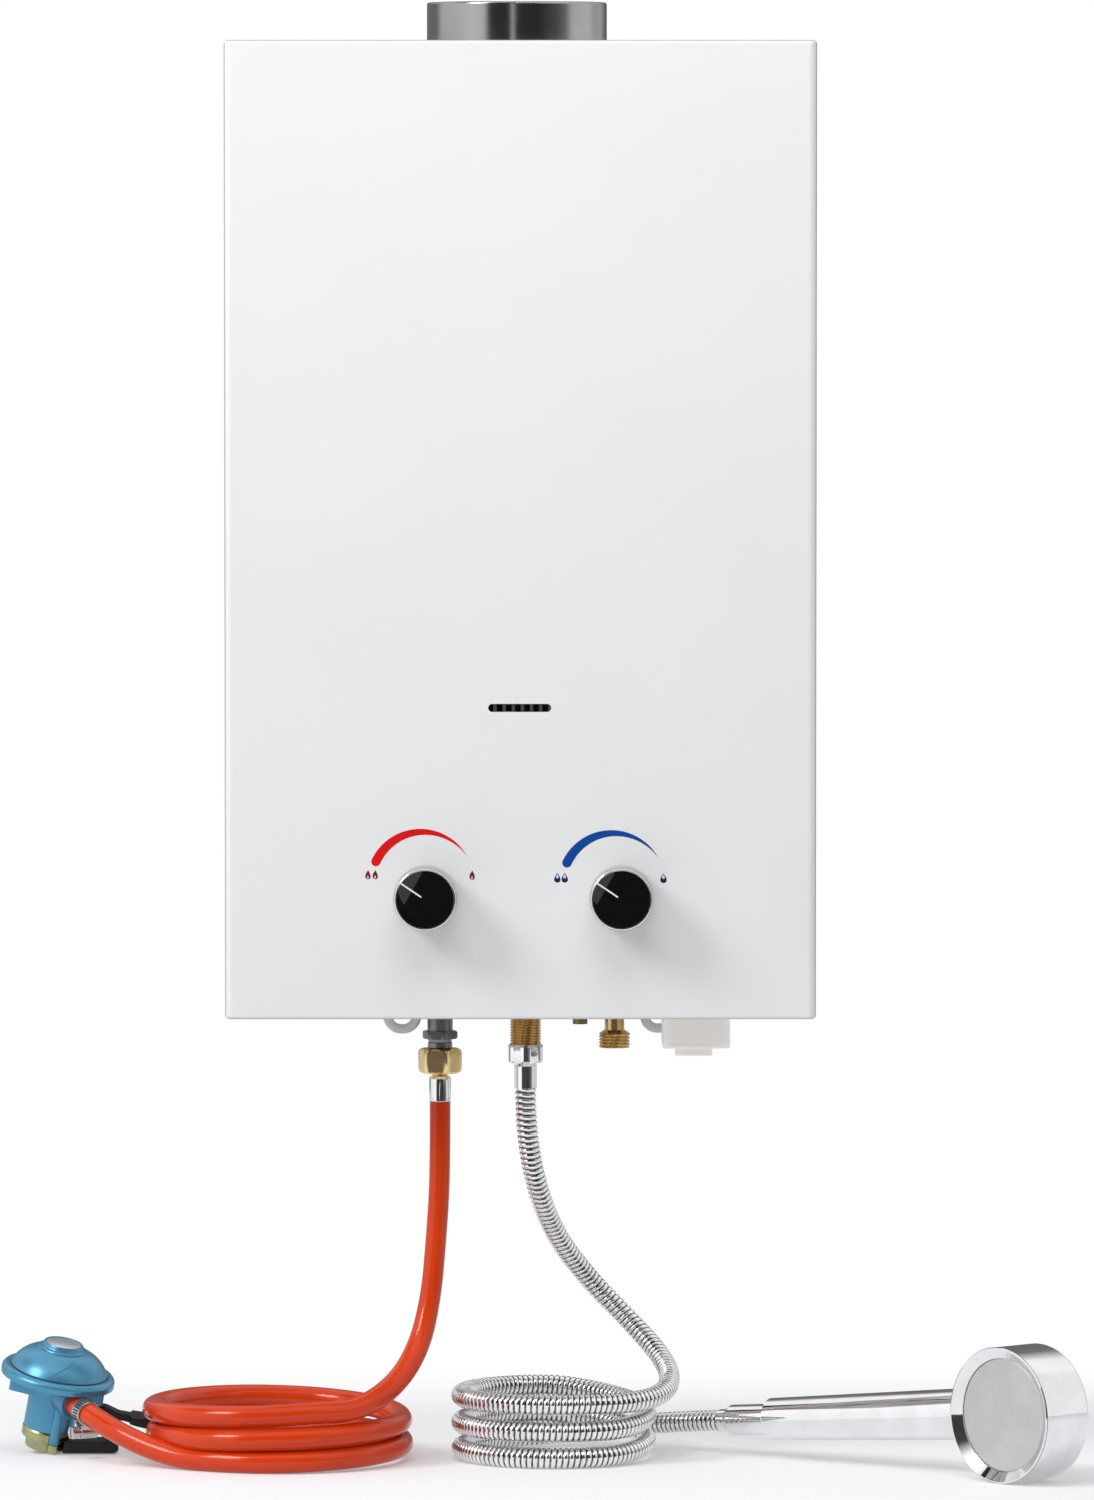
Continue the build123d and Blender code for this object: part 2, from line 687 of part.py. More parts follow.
# Cold inlet: brass neck, flared shoulder and free male thread.
cold_foot = -685.0
with BuildPart() as cold_inlet:
    with BuildSketch(Plane.XZ.offset(-fitting_y)):
        with BuildLine():
            Polyline(
                (cold_fitting_x + 6.5, cold_foot),
                (cold_fitting_x + thread_radius, cold_foot),
                (cold_fitting_x + thread_radius, cold_foot + 9.5),
                (cold_fitting_x + 6.6, cold_foot + 12),
                (cold_fitting_x + 6.6, block_foot - 0.1),
                (cold_fitting_x + 4.5, block_foot - 0.1),
                (cold_fitting_x + 4.5, cold_foot + 9),
                (cold_fitting_x + 6.5, cold_foot + 6),
                close=True,
            )
        make_face()
    revolve(axis=Axis((cold_fitting_x, fitting_y, 0), (0, 0, 1)))
finish(cold_inlet, "cold_inlet")

# Drain plug: slotted brass screw in the foot of the water valve.
with BuildPart() as drain_plug:
    with BuildSketch(Plane.XY.offset(casing_foot - 10.2)):
        with Locations((drain_x, fitting_y)):
            Circle(5.0)
    extrude(amount=16)
    with BuildSketch(Plane.XY.offset(casing_foot - 11)):
        with Locations((drain_x, fitting_y)):
            Rectangle(12, 1.4)
    extrude(amount=3, mode=Mode.SUBTRACT)
    with BuildSketch(Plane.XY.offset(casing_foot + 5.8)):
        with Locations((drain_x, fitting_y)):
            Circle(4.0)
    extrude(amount=rod_z - 31 - casing_foot - 5.8 - 0.2)
finish(drain_plug, "drain_plug")

# Cold water pipe: copper tube from the water valve up to the chamber coil.
with BuildPart() as cold_pipe:
    with BuildLine() as cold_path:
        FilletPolyline(
            (water_x - 2, valve_y, block_top - 14),
            (water_x - 2, valve_y, block_top + 4),
            (coil_half_x + 20, valve_y, block_top + 4),
            (coil_half_x + 20, -22, tray_foot + 30),
            (coil_half_x + 20, -22, coil_start - coil_rise - 22),
            (coil_half_x, -22, coil_start - coil_rise - 2.3),
            (coil_half_x, burner_y + coil_half_y - 30, coil_start - coil_rise),
            radius=9,
        )
    with BuildSketch(Plane(origin=cold_path.line @ 0, z_dir=cold_path.line % 0)):
        Circle(5.0)
        Circle(5.0 - tube_wall, mode=Mode.SUBTRACT)
    sweep()
finish(cold_pipe, "cold_pipe")

# Hot water pipe: copper tube from the exchanger down the left side to the hot outlet.
with BuildPart() as hot_pipe:
    with BuildLine() as hot_path:
        FilletPolyline(
            (-pass_end, tube_rows[4], tube_z),
            (-pass_end - 24, tube_rows[4], tube_z),
            (-pass_end - 24, -46, tube_z - 60),
            (-pass_end - 24, -44, block_top - 8),
            (-20, -44, block_top - 16),
            (hot_fitting_x, fitting_y, pan_foot + 50),
            (hot_fitting_x, fitting_y, pan_foot + 9.2),
            radius=(12, 12, 20, 16, 16),
        )
    with BuildSketch(Plane(origin=hot_path.line @ 0, z_dir=hot_path.line % 0)):
        Circle(6.0)
        Circle(6.0 - tube_wall, mode=Mode.SUBTRACT)
    sweep()
finish(hot_pipe, "hot_pipe")

# ---- controls -------------------------------------------------------------------------------
# Each knob is a knurled grip with a plated ring at its front, pressed on a steel spindle.
spindle_radius = 4.0
knob_back = front_y - 0.5
knob_front = front_y - knob_length
glass_radius = 17.9


def make_knob(x):
    """The grip of one knob, hollow at the back, with its hub for the spindle."""
    with BuildPart() as knob:
        with BuildSketch(Plane.YZ.offset(x)):
            with BuildLine():
                Polyline(
                    (knob_back, knob_z + knob_radius),
                    (knob_front + 2.0, knob_z + knob_radius),
                    (knob_front, knob_z + knob_radius - 0.8),
                    (knob_front, knob_z + glass_radius + 0.02),
                    (knob_front + 1.6, knob_z + glass_radius + 0.02),
                    (knob_front + 1.6, knob_z),
                    (knob_front + 14, knob_z),
                    (knob_front + 14, knob_z + spindle_radius),
                    (knob_back, knob_z + spindle_radius),
                    (knob_back, knob_z + 8),
                    (knob_front + 5, knob_z + 8),
                    (knob_front + 5, knob_z + 17),
                    (knob_back, knob_z + 17),
                    close=True,
                )
            make_face()
        revolve(axis=Axis((x, 0, knob_z), (0, 1, 0)))
    return knob


def make_glass(x):
    """The glass disc that sits in the ring of one knob, with its front slightly domed."""
    seat_y = knob_front + 1.6
    rim_y = knob_front + 0.9
    middle_y = knob_front + 0.3
    sag = rim_y - middle_y
    dome_radius = (glass_radius**2 + sag**2) / (2 * sag)
    with BuildPart() as glass:
        with BuildSketch(Plane.YZ.offset(x)):
            with BuildLine():
                Line((middle_y, knob_z), (seat_y, knob_z))
                Line((seat_y, knob_z), (seat_y, knob_z + glass_radius))
                Line((seat_y, knob_z + glass_radius), (rim_y, knob_z + glass_radius))
                RadiusArc((rim_y, knob_z + glass_radius), (middle_y, knob_z), -dome_radius)
            make_face()
        revolve(axis=Axis((x, 0, knob_z), (0, 1, 0)))
    return glass


def make_spindle(x, start_y):
    """One valve spindle, from its bore in the valve to its seat in the knob's hub."""
    with BuildPart() as spindle:
        with BuildSketch(Plane.XZ.offset(-start_y)):
            with Locations((x, knob_z)):
                Circle(spindle_radius)
        extrude(amount=start_y - knob_front - 14)
    return spindle


gas_knob = make_knob(gas_x)
finish(gas_knob, "gas_knob")
water_knob = make_knob(water_x)
finish(water_knob, "water_knob")
gas_knob_glass = make_glass(gas_x)
finish(gas_knob_glass, "gas_knob_glass")
water_knob_glass = make_glass(water_x)
finish(water_knob_glass, "water_knob_glass")
gas_spindle = make_spindle(gas_x, valve_y - 20)
finish(gas_spindle, "gas_spindle")
water_spindle = make_spindle(water_x, valve_y - 20)
finish(water_spindle, "water_spindle")

# ---- battery case -----------------------------------------------------------------------------
# Case: moulded box through the foot plate, open at its foot, with a flange that rests on the
# plate and two lugs with a hinge pin at the back.
case_foot = -678.8
case_roof = -609.0
hinge_y = case_front + case_depth + 3.2
hinge_z = case_foot - 0.4
hinge_bore = 1.55
with BuildPart() as battery_case:
    with BuildSketch(Plane.XY.offset(case_foot)):
        with Locations((case_x, case_middle)):
            RectangleRounded(case_width, case_depth, 4)
    extrude(amount=case_roof - case_foot)
    with BuildSketch(Plane.XY.offset(case_foot)):
        with Locations((case_x, case_middle)):
            RectangleRounded(case_width - 4, case_depth - 4, 2.5)
    extrude(amount=case_roof - case_foot - 2, mode=Mode.SUBTRACT)
    with BuildSketch(Plane.XY.offset(pan_foot + sheet + 0.1)):
        with Locations((case_x, case_middle)):
            RectangleRounded(case_width + 8, case_depth + 8, 6)
            RectangleRounded(case_width - 1, case_depth - 1, 3, mode=Mode.SUBTRACT)
    extrude(amount=2)
    for lug_x in (case_x - 16, case_x + 12):
        with BuildSketch(Plane.YZ.offset(lug_x)):
            with BuildLine():
                Polyline(
                    (hinge_y - 4.2, hinge_z + 12),
                    (hinge_y - 4.2, case_foot + 0.3),
                    (hinge_y - 2.6, case_foot + 0.3),
                    (hinge_y - 2.6, hinge_z),
                    (hinge_y + 2.6, hinge_z),
                    (hinge_y + 2.6, hinge_z + 4),
                    close=True,
                )
            make_face()
            with Locations((hinge_y, hinge_z)):
                Circle(2.6)
        extrude(amount=4)
    with BuildSketch(Plane.YZ.offset(case_x - 14)):
        with Locations((hinge_y, hinge_z)):
            Circle(hinge_bore - 0.05)
    extrude(amount=28)
finish(battery_case, "battery_case")

# Lid: closes the foot of the case, swings down on the hinge pin, with a finger tab in front.
lid_top = case_foot - 0.3
lid_thickness = 2.4
with BuildPart() as battery_lid:
    with BuildSketch(Plane.XY.offset(lid_top - lid_thickness)):
        with Locations((case_x, case_middle)):
            RectangleRounded(case_width, case_depth, 4)
    extrude(amount=lid_thickness)
    chamfer(battery_lid.faces().sort_by(Axis.Z)[0].edges(), 0.8)
    with BuildSketch(Plane.XY.offset(lid_top - lid_thickness)):
        with Locations((case_x - 1.8, case_front + 5)):
            RectangleRounded(24.8, 6, 2)
    extrude(amount=-4.8)
    with BuildSketch(Plane.YZ.offset(case_x - 11)):
        with Locations((hinge_y, hinge_z)):
            Circle(2.6)
        with BuildLine():
            Polyline(
                (hinge_y, hinge_z - 0.4),
                (hinge_y - 5, hinge_z - 0.4),
                (hinge_y - 5, lid_top - lid_thickness),
                (hinge_y, lid_top - lid_thickness),
                close=True,
            )
        make_face()
        with Locations((hinge_y, hinge_z)):
            Circle(hinge_bore, mode=Mode.SUBTRACT)
    extrude(amount=22)
finish(battery_lid, "battery_lid")

# Two D cells standing side by side, each a can with its pip.
cell_radius = 16.8
cell_foot = lid_top + 3.2
with BuildPart() as battery_cells:
    for cell_y in (case_middle - cell_radius - 0.4, case_middle + cell_radius + 0.4):
        with BuildSketch(Plane.XY.offset(cell_foot)):
            with Locations((case_x, cell_y)):
                Circle(cell_radius)
        extrude(amount=60)
        with BuildSketch(Plane.XY.offset(cell_foot + 60)):
            with Locations((case_x, cell_y)):
                Circle(4.75)
        extrude(amount=1.4)
finish(battery_cells, "battery_cells")

# Contacts: two spring plates under the roof of the case.
with BuildPart() as battery_contacts:
    for cell_y in (case_middle - cell_radius - 0.4, case_middle + cell_radius + 0.4):
        with BuildSketch(Plane.XY.offset(case_roof - 2.9)):
            with Locations((case_x, cell_y)):
                Rectangle(20, 14)
        extrude(amount=0.8)
finish(battery_contacts, "battery_contacts")

# Bridge plate on the lid that joins the two cells.
with BuildPart() as lid_contact:
    with BuildSketch(Plane.XY.offset(lid_top + 0.02)):
        with Locations((case_x, case_middle)):
            RectangleRounded(12, 56, 3)
    extrude(amount=0.6)
finish(lid_contact, "lid_contact")

# Battery lead: from a hole in the foot plate into the left wall of the case.
lead_radius = 3.2
case_left = case_x - case_width / 2
with BuildPart() as battery_lead:
    with BuildLine() as battery_lead_path:
        FilletPolyline(
            (83, fitting_y, pan_foot + 8),
            (83, fitting_y, -672.0),
            (case_left - 0.05, fitting_y, -672.0),
            radius=8,
        )
    with BuildSketch(Plane(origin=battery_lead_path.line @ 0, z_dir=battery_lead_path.line % 0)):
        Circle(lead_radius)
    sweep()
finish(battery_lead, "battery_lead")

# Sensor lead: grey loop that comes out of the foot plate at the left and goes back in.
with BuildPart() as sensor_lead:
    with BuildLine() as sensor_lead_path:
        FilletPolyline(
            (-89, fitting_y, pan_foot + 10),
            (-89, fitting_y, -672.6),
            (-69.6, fitting_y, -672.6),
            (-69.6, fitting_y, pan_foot + 10),
            radius=9.2,
        )
    with BuildSketch(Plane(origin=sensor_lead_path.line @ 0, z_dir=sensor_lead_path.line % 0)):
        Circle(lead_radius)
    sweep()
finish(sensor_lead, "sensor_lead")

# ---- regulator ----------------------------------------------------------------------------------
# The regulator lies on the floor on the edge of its coupling, so its axis leans to the right
# and to the front.
up_axis = Vector(tan(radians(lean_right)), -tan(radians(lean_front)), 1).normalized()
rim_centre = Vector(-320.9, -30.9, -958.4) + up_axis * coupling_depth
across = (Vector(1, 0, 0) - up_axis * up_axis.X).normalized()
level = Plane(origin=rim_centre, x_dir=across, z_dir=up_axis)
turning_axis = Axis(rim_centre, up_axis)
outlet_dir = level.x_dir * cos(radians(nozzle_turn)) + level.y_dir * sin(radians(nozzle_turn))


def radial_section(turn):
    """The upright plane through the regulator's axis, turned from its own X."""
    out_dir = level.x_dir * cos(radians(turn)) + level.y_dir * sin(radians(turn))
    return Plane(origin=rim_centre, x_dir=out_dir, z_dir=out_dir.cross(up_axis))


def outlet(distance):
    """A point on the outlet's line, at a distance from the regulator's axis."""
    return rim_centre - up_axis * nozzle_drop + outlet_dir * distance


section = radial_section(0)

# Dome: pressed steel shell with a bead round its rim, crimped over the body's pan.
with BuildPart() as regulator_dome:
    with BuildSketch(section):
        with BuildLine():
            rim_line = Polyline((0, 15.8), (0, 17.6), (15.5, 17.6), (16.6, 16.4))
            shoulder = ThreePointArc(rim_line @ 1, (27.2, 10.6), (33.2, 2.0))
            bead = ThreePointArc(shoulder @ 1, (36.6, 1.6), (38.5, -1.6))
            Polyline(
                bead @ 1,
                (38.5, -4.4),
                (36.7, -4.4),
                (36.7, -1.2),
                (32.2, 0.2),
            )
            inner = ThreePointArc((32.2, 0.2), (26.2, 9.2), (15.8, 15.0))
            Polyline(inner @ 1, (14.6, 15.8), (0, 15.8))
        make_face()
    revolve(axis=turning_axis)
finish(regulator_dome, "regulator_dome")

# Cap: stepped adjuster cap with a recess for its disc.
with BuildPart() as regulator_cap:
    with BuildSketch(section):
        with BuildLine():
            Polyline(
                (0, 17.7),
                (15.0, 17.7),
                (15.0, 20.2),
                (13.8, 21.4),
                (13.2, 24.2),
                (12.5, 24.9),
                (11.8, 24.4),
                (11.8, 23.8),
                (0, 23.8),
                close=True,
            )
        make_face()
    revolve(axis=turning_axis)
finish(regulator_cap, "regulator_cap")

# Body: die-cast pan and barrel with a lug at each side, the outlet boss and a half-round
# pillar down the front.
pillar_turn = -74.0
pillar_foot = -45.3
with BuildPart() as regulator_body:
    with BuildSketch(section):
        with BuildLine():
            Polyline(
                (0, -7.0),
                (12, -6.6),
                (16, -3.2),
                (36.6, -3.2),
                (36.6, -4.9),
                (body_radius, -4.9),
                (body_radius, -39),
                (body_radius - 3, -39),
                (body_radius - 3, -14),
                (0, -14),
                close=True,
            )
        make_face()
    revolve(axis=turning_axis)
    with BuildSketch(level.offset(-17)) as lugs:
        with BuildLine():
            Polyline(
                (-31, -5),
                (-31, 5),
                (-14, 9),
                (14, 9),
                (33, 6),
                (33, -6),
                (14, -9),
                (-14, -9),
                close=True,
            )
        make_face()
        fillet(lugs.vertices(), 2.0)
        Circle(body_radius - 2, mode=Mode.SUBTRACT)
    extrude(amount=12.5)
    with BuildSketch(Plane(origin=outlet(13), z_dir=outlet_dir)):
        Circle(11.0)
    extrude(amount=17)
    with BuildSketch(level.offset(pillar_foot)):
        with PolarLocations(18.5, 1, pillar_turn):
            Circle(3.6)
    extrude(amount=-8 - pillar_foot)
    with BuildSketch(level.offset(-39)):
        Circle(body_radius - 3)
    extrude(amount=24, mode=Mode.SUBTRACT)
    with BuildSketch(level.offset(-3.15)):
        Circle(rim_radius)
    extrude(amount=6, mode=Mode.SUBTRACT)
finish(regulator_body, "regulator_body")

# Diaphragm: rubber disc with its plate, clamped between the pan and the dome.
with BuildPart() as regulator_diaphragm:
    with BuildSketch(section):
        with BuildLine():
            Polyline(
                (0, -3.1),
                (36.6, -3.1),
                (36.6, -1.4),
                (30, -1.4),
                (24, -2.2),
                (15, -2.2),
                (14, -0.6),
                (0, -0.6),
                close=True,
            )
        make_face()
    revolve(axis=turning_axis)
finish(regulator_diaphragm, "regulator_diaphragm")

# Coupling: plated steel ring that snaps on the bottle's valve, with a blind bore from below,
# a curved slot for the lever's tongue and a foot in line with the pillar.
coupling_bore = 10.5
coupling_radius = 14.0
slot_top = -47.2
slot_foot = -50.4
with BuildPart() as regulator_coupling:
    with BuildSketch(section):
        with BuildLine():
            Polyline(
                (0, -30),
                (14.1, -30),
                (14.1, -39.1),
                (17.0, -39.1),
                (17.6, -40.2),
                (17.6, -45.4),
                (16.4, -46.6),
                (coupling_radius, -46.9),
                (coupling_radius, -52.6),
                (coupling_radius - 0.8, -coupling_depth),
                (coupling_bore, -coupling_depth),
                (coupling_bore, -33),
                (0, -33),
                close=True,
            )
        make_face()
    revolve(axis=turning_axis)
    with BuildSketch(level.offset(pillar_foot - 0.2)):
        with PolarLocations(18.5, 1, pillar_turn):
            Circle(3.8)
    extrude(amount=12, mode=Mode.SUBTRACT)
    with BuildSketch(level.offset(-51.0)):
        with PolarLocations(18.5, 1, pillar_turn):
            Circle(3.4)
        with PolarLocations(15.5, 1, pillar_turn):
            Rectangle(7, 4)
        Circle(coupling_radius - 2, mode=Mode.SUBTRACT)
    extrude(amount=51.0 + pillar_foot - 0.3)
    with BuildSketch(radial_section(-64)):
        with Locations((14.2, (slot_top + slot_foot) / 2)):
            Rectangle(4, slot_top - slot_foot)
    revolve(axis=turning_axis, revolution_arc=168, mode=Mode.SUBTRACT)
finish(regulator_coupling, "regulator_coupling")

# Lever: moulded in one piece; its tongue rides in the coupling's slot, its foot block stands
# beside the coupling and its arm rises behind the hose to a thumb paddle.
with BuildPart() as regulator_lever:
    with BuildSketch(section.offset(18)):
        with BuildLine():
            Polyline(
                (12, -50.6),
                (46.5, -44.4),
                (49, -42),
                (47.5, -37.5),
                (44, -36.5),
                (20, -41.2),
                (12, -42),
                close=True,
            )
        make_face()
    extrude(amount=-13)
    with BuildSketch(level.offset(-39)):
        with Locations((44, -9)):
            RectangleRounded(8, 7, 2)
    with BuildSketch(level.offset(-23)):
        with Locations((41, 1)):
            RectangleRounded(8, 6, 2)
    loft()
    with BuildSketch(section.offset(4)):
        with BuildLine():
            Polyline(
                (30, -17.6),
                (36, -17.6),
                (45, -20.2),
                (60, -20.2),
                (64, -18.7),
                (68, -18.4),
                (69.2, -20),
                (69.2, -24.6),
                (66, -26.6),
                (58, -26.2),
                (50, -25.2),
                (44, -25.2),
                (33, -21.8),
                (30, -20),
                close=True,
            )
        make_face()
    extrude(amount=-9)
    with BuildSketch(section.offset(8)):
        with BuildLine():
            Polyline(
                (53, -20.4),
                (60, -20.2),
                (64, -18.7),
                (68, -18.4),
                (69.2, -20),
                (69.2, -24.6),
                (66, -26.6),
                (58, -26.2),
                (53, -25.4),
                close=True,
            )
        make_face()
    extrude(amount=-18)
    with BuildSketch(level.offset(-60)):
        Circle(18.0)
    extrude(amount=30, mode=Mode.SUBTRACT)
    with BuildSketch(radial_section(-60)):
        with Locations((15.4, (slot_top + slot_foot) / 2)):
            Rectangle(6, slot_top - slot_foot - 0.2)
    revolve(axis=turning_axis, revolution_arc=72)
finish(regulator_lever, "regulator_lever")

# Hose clamp: steel band round the hose with the housing of its worm screw below.
clamp_start = 40.5
clamp_width = 9.0
clamp_across = Vector(-outlet_dir.Y, outlet_dir.X, 0).normalized()
clamp_plane = Plane(origin=outlet(clamp_start), x_dir=clamp_across, z_dir=outlet_dir)
band_radius = gas_hose_diameter / 2 + 0.05
screw_drop = 14.2
screw_middle = clamp_plane.origin + outlet_dir * (clamp_width / 2) - clamp_plane.y_dir * screw_drop
screw_plane = Plane(origin=screw_middle, z_dir=clamp_across)
with BuildPart() as hose_clamp:
    with BuildSketch(clamp_plane):
        Circle(band_radius + 0.8)
        with BuildLine():
            Polyline((-5.5, -5), (6.5, -5), (9.4, -10.4), (-3.6, -10.4), close=True)
        make_face()
        with Locations((2.9, -screw_drop)):
            RectangleRounded(13, 7.8, 1.2)
        Circle(band_radius, mode=Mode.SUBTRACT)
    extrude(amount=clamp_width)
    with BuildSketch(screw_plane):
        Circle(2.65)
    extrude(amount=40, both=True, mode=Mode.SUBTRACT)
finish(hose_clamp, "hose_clamp")

# Worm screw of the clamp with its slotted hexagon head.
with BuildPart() as clamp_screw:
    with BuildSketch(screw_plane.offset(-9.6)):
        RegularPolygon(3.9, 6, major_radius=False)
    extrude(amount=5.6)
    with BuildSketch(screw_plane.offset(-4)):
        Circle(2.6)
    extrude(amount=14.5)
    with BuildSketch(screw_plane.offset(-10)):
        Rectangle(1.2, 12)
    extrude(amount=1.8, mode=Mode.SUBTRACT)
finish(clamp_screw, "clamp_screw")

# ---- hoses ----------------------------------------------------------------------------------------


def make_hose(name, points, diameter):
    """One stretch of hose along straight runs joined by arcs."""
    with BuildPart() as hose:
        with BuildLine() as path:
            FilletPolyline(*points, radius=bend_radii(name, points))
        with BuildSketch(Plane(origin=path.line @ 0, z_dir=path.line % 0)):
            Circle(diameter / 2)
        sweep()
    length = sum(edge.length for edge in path.edges())
    section_area = pi * diameter**2 / 4
    ratio = hose.part.volume / length / section_area
    print(name, "length", round(length), "volume ratio", round(ratio, 3))
    return hose


def make_coil(centre, radius, diameter, height):
    """The outer shape of one coil that lies on the floor."""
    with BuildPart() as coil:
        with BuildSketch(Plane.XZ.offset(-centre[1])):
            with Locations((centre[0] + radius, floor_z + height / 2)):
                RectangleRounded(diameter, height, diameter / 2 - 1)
        revolve(axis=Axis((*centre, 0), (0, 0, 1)))
    return coil


gas_drop_points = [
    (gas_fitting_x, fitting_y, ferrule_foot),
    (gas_fitting_x, fitting_y, -748),
    (-54.6, -75.8, -783),
    (-57, -77.5, -817),
    (-60, -80.5, -851),
    (-67.5, -91.5, -884),
    (-83, -111.5, -908),
    around(gas_coil_centre, gas_coil_radius, -50, 41),
]
gas_hose_drop = make_hose("gas_hose_drop", gas_drop_points, gas_hose_diameter)
finish(gas_hose_drop, "gas_hose_drop")

gas_hose_coil = make_coil(gas_coil_centre, gas_coil_radius, gas_hose_diameter, gas_coil_height)
finish(gas_hose_coil, "gas_hose_coil")

gas_run_points = [
    around(gas_coil_centre, gas_coil_radius, -120, gas_hose_diameter / 2),
    (-225.5, -130.5, floor_z + gas_hose_diameter / 2),
    (-250, -116, -948.5),
    tuple(outlet(66)),
    tuple(outlet(30)),
]
gas_hose_run = make_hose("gas_hose_run", gas_run_points, gas_hose_diameter)
finish(gas_hose_run, "gas_hose_run")

shower_drop_points = [
    (hot_fitting_x, fitting_y, shower_ferrule_foot),
    (hot_fitting_x, fitting_y, -741),
    (10.9, -61.2, -782.4),
    (24.1, -33.8, -817),
    (46.7, -9, -848.4),
    (73.7, -9.6, -875.8),
    (94.9, -29.8, -897),
    (101.7, -59.4, -910.9),
    (92.5, -90.1, -918.2),
    (69, -113, -920),
    around(shower_coil_centre, 61, -66.8, 42),
]
shower_hose_drop = make_hose("shower_hose_drop", shower_drop_points, shower_hose_diameter)
finish(shower_hose_drop, "shower_hose_drop")

shower_hose_coil = make_coil(shower_coil_centre, shower_coil_radius, shower_hose_diameter, shower_coil_height)
finish(shower_hose_coil, "shower_hose_coil")

# ---- hand shower ----------------------------------------------------------------------------------
# The head lies on the edge of its drum; its face looks to the front and left.
head_centre = Vector(329, -197, floor_z + head_radius)
face_dir = Vector(-sin(radians(head_yaw)), -cos(radians(head_yaw)), 0)
handle_dir = Vector(
    -cos(radians(handle_yaw)) * cos(radians(handle_dip)),
    sin(radians(handle_yaw)) * cos(radians(handle_dip)),
    -sin(radians(handle_dip)),
)
face_plane = Plane(origin=head_centre, z_dir=face_dir)
profile_plane = Plane(origin=head_centre, x_dir=(0, 0, 1), z_dir=face_dir.cross(Vector(0, 0, 1)) * -1)
handle_start = head_centre - face_dir * handle_setback
handle_end = handle_start + handle_dir * handle_reach
cone_length = 34.0
hose_entry = handle_end + handle_dir * (cone_length + 8)

shower_run_points = [
    (-17.7, -18.7, floor_z + shower_hose_diameter / 2),
    (6, -6, -954),
    (33, -1, -952),
    (61, -2, -949),
    (87, -11, -945),
    tuple(hose_entry + handle_dir * 26),
    tuple(hose_entry),
]
shower_hose_run = make_hose("shower_hose_run", shower_run_points, shower_hose_diameter)
finish(shower_hose_run, "shower_hose_run")

# Hand shower: tapering hollow handle running into a drum with a closed back.
wall = 1.6
with BuildPart() as shower_body:
    with BuildSketch(face_plane.offset(-head_length / 2)):
        Circle(head_radius)
    extrude(amount=head_length - 0.4)
    drum_ends = shower_body.faces().filter_by(GeomType.PLANE).sort_by(Axis(head_centre, face_dir))
    fillet(drum_ends[0].edges(), 3.0)
    with BuildSketch(Plane(origin=handle_start, z_dir=handle_dir).offset(20)):
        Circle(17.8)
    with BuildSketch(Plane(origin=handle_end, z_dir=handle_dir)):
        Circle(14.2)
    loft()
    with BuildSketch(face_plane.offset(wall - head_length / 2)):
        Circle(head_radius - wall)
    extrude(amount=head_length, mode=Mode.SUBTRACT)
    with BuildSketch(Plane(origin=handle_end, z_dir=handle_dir).offset(1)):
        Circle(9.0)
    extrude(amount=-(handle_reach - head_radius + 6), mode=Mode.SUBTRACT)
finish(shower_body, "shower_body")

# Bezel: plated ring that slopes inwards to the spray plate.
bezel_front = head_length / 2
plate_radius = 37.6
with BuildPart() as shower_bezel:
    with BuildSketch(profile_plane):
        with BuildLine():
            Polyline(
                (head_radius, bezel_front - 0.3),
                (head_radius - 0.4, bezel_front + 0.5),
                (head_radius - 1.2, bezel_front + 0.5),
                (plate_radius, bezel_front - 4.0),
                (plate_radius, bezel_front - 5.2),
                (head_radius - 2.6, bezel_front - 1.4),
                (head_radius - 2.6, bezel_front - 6),
                (head_radius - wall - 0.02, bezel_front - 6),
                (head_radius - wall - 0.02, bezel_front - 0.3),
                close=True,
            )
        make_face()
    revolve(axis=Axis(head_centre, face_dir))
finish(shower_bezel, "shower_bezel")

# Spray plate: disc with a stepped edge behind the bezel.
with BuildPart() as shower_face_plate:
    with BuildSketch(profile_plane):
        with BuildLine():
            Polyline(
                (0, bezel_front - 8.0),
                (41.0, bezel_front - 8.0),
                (41.0, bezel_front - 6.4),
                (plate_radius - 0.2, bezel_front - 6.4),
                (plate_radius - 0.2, bezel_front - 5.0),
                (plate_radius - 1.2, bezel_front - 4.6),
                (0, bezel_front - 4.6),
                close=True,
            )
        make_face()
    revolve(axis=Axis(head_centre, face_dir))
finish(shower_face_plate, "shower_face_plate")

# Swivel nut and ferrule between the hose and the handle.
nut_plane = Plane(origin=handle_end, z_dir=handle_dir)
with BuildPart() as shower_cone_nut:
    with BuildSketch(nut_plane.offset(0.2)):
        Circle(10.4)
    extrude(amount=cone_length - 2)
    with BuildSketch(nut_plane.offset(cone_length - 1.8)):
        Circle(10.4)
    extrude(amount=3, taper=30)
    with BuildSketch(nut_plane.offset(cone_length)):
        Circle(7.6)
    extrude(amount=8)
    with BuildSketch(nut_plane):
        Circle(5.0)
    extrude(amount=cone_length + 20, mode=Mode.SUBTRACT)
finish(shower_cone_nut, "shower_cone_nut")
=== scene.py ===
from math import atan, atan2, ceil, cos, pi, radians, sin, sqrt, tau

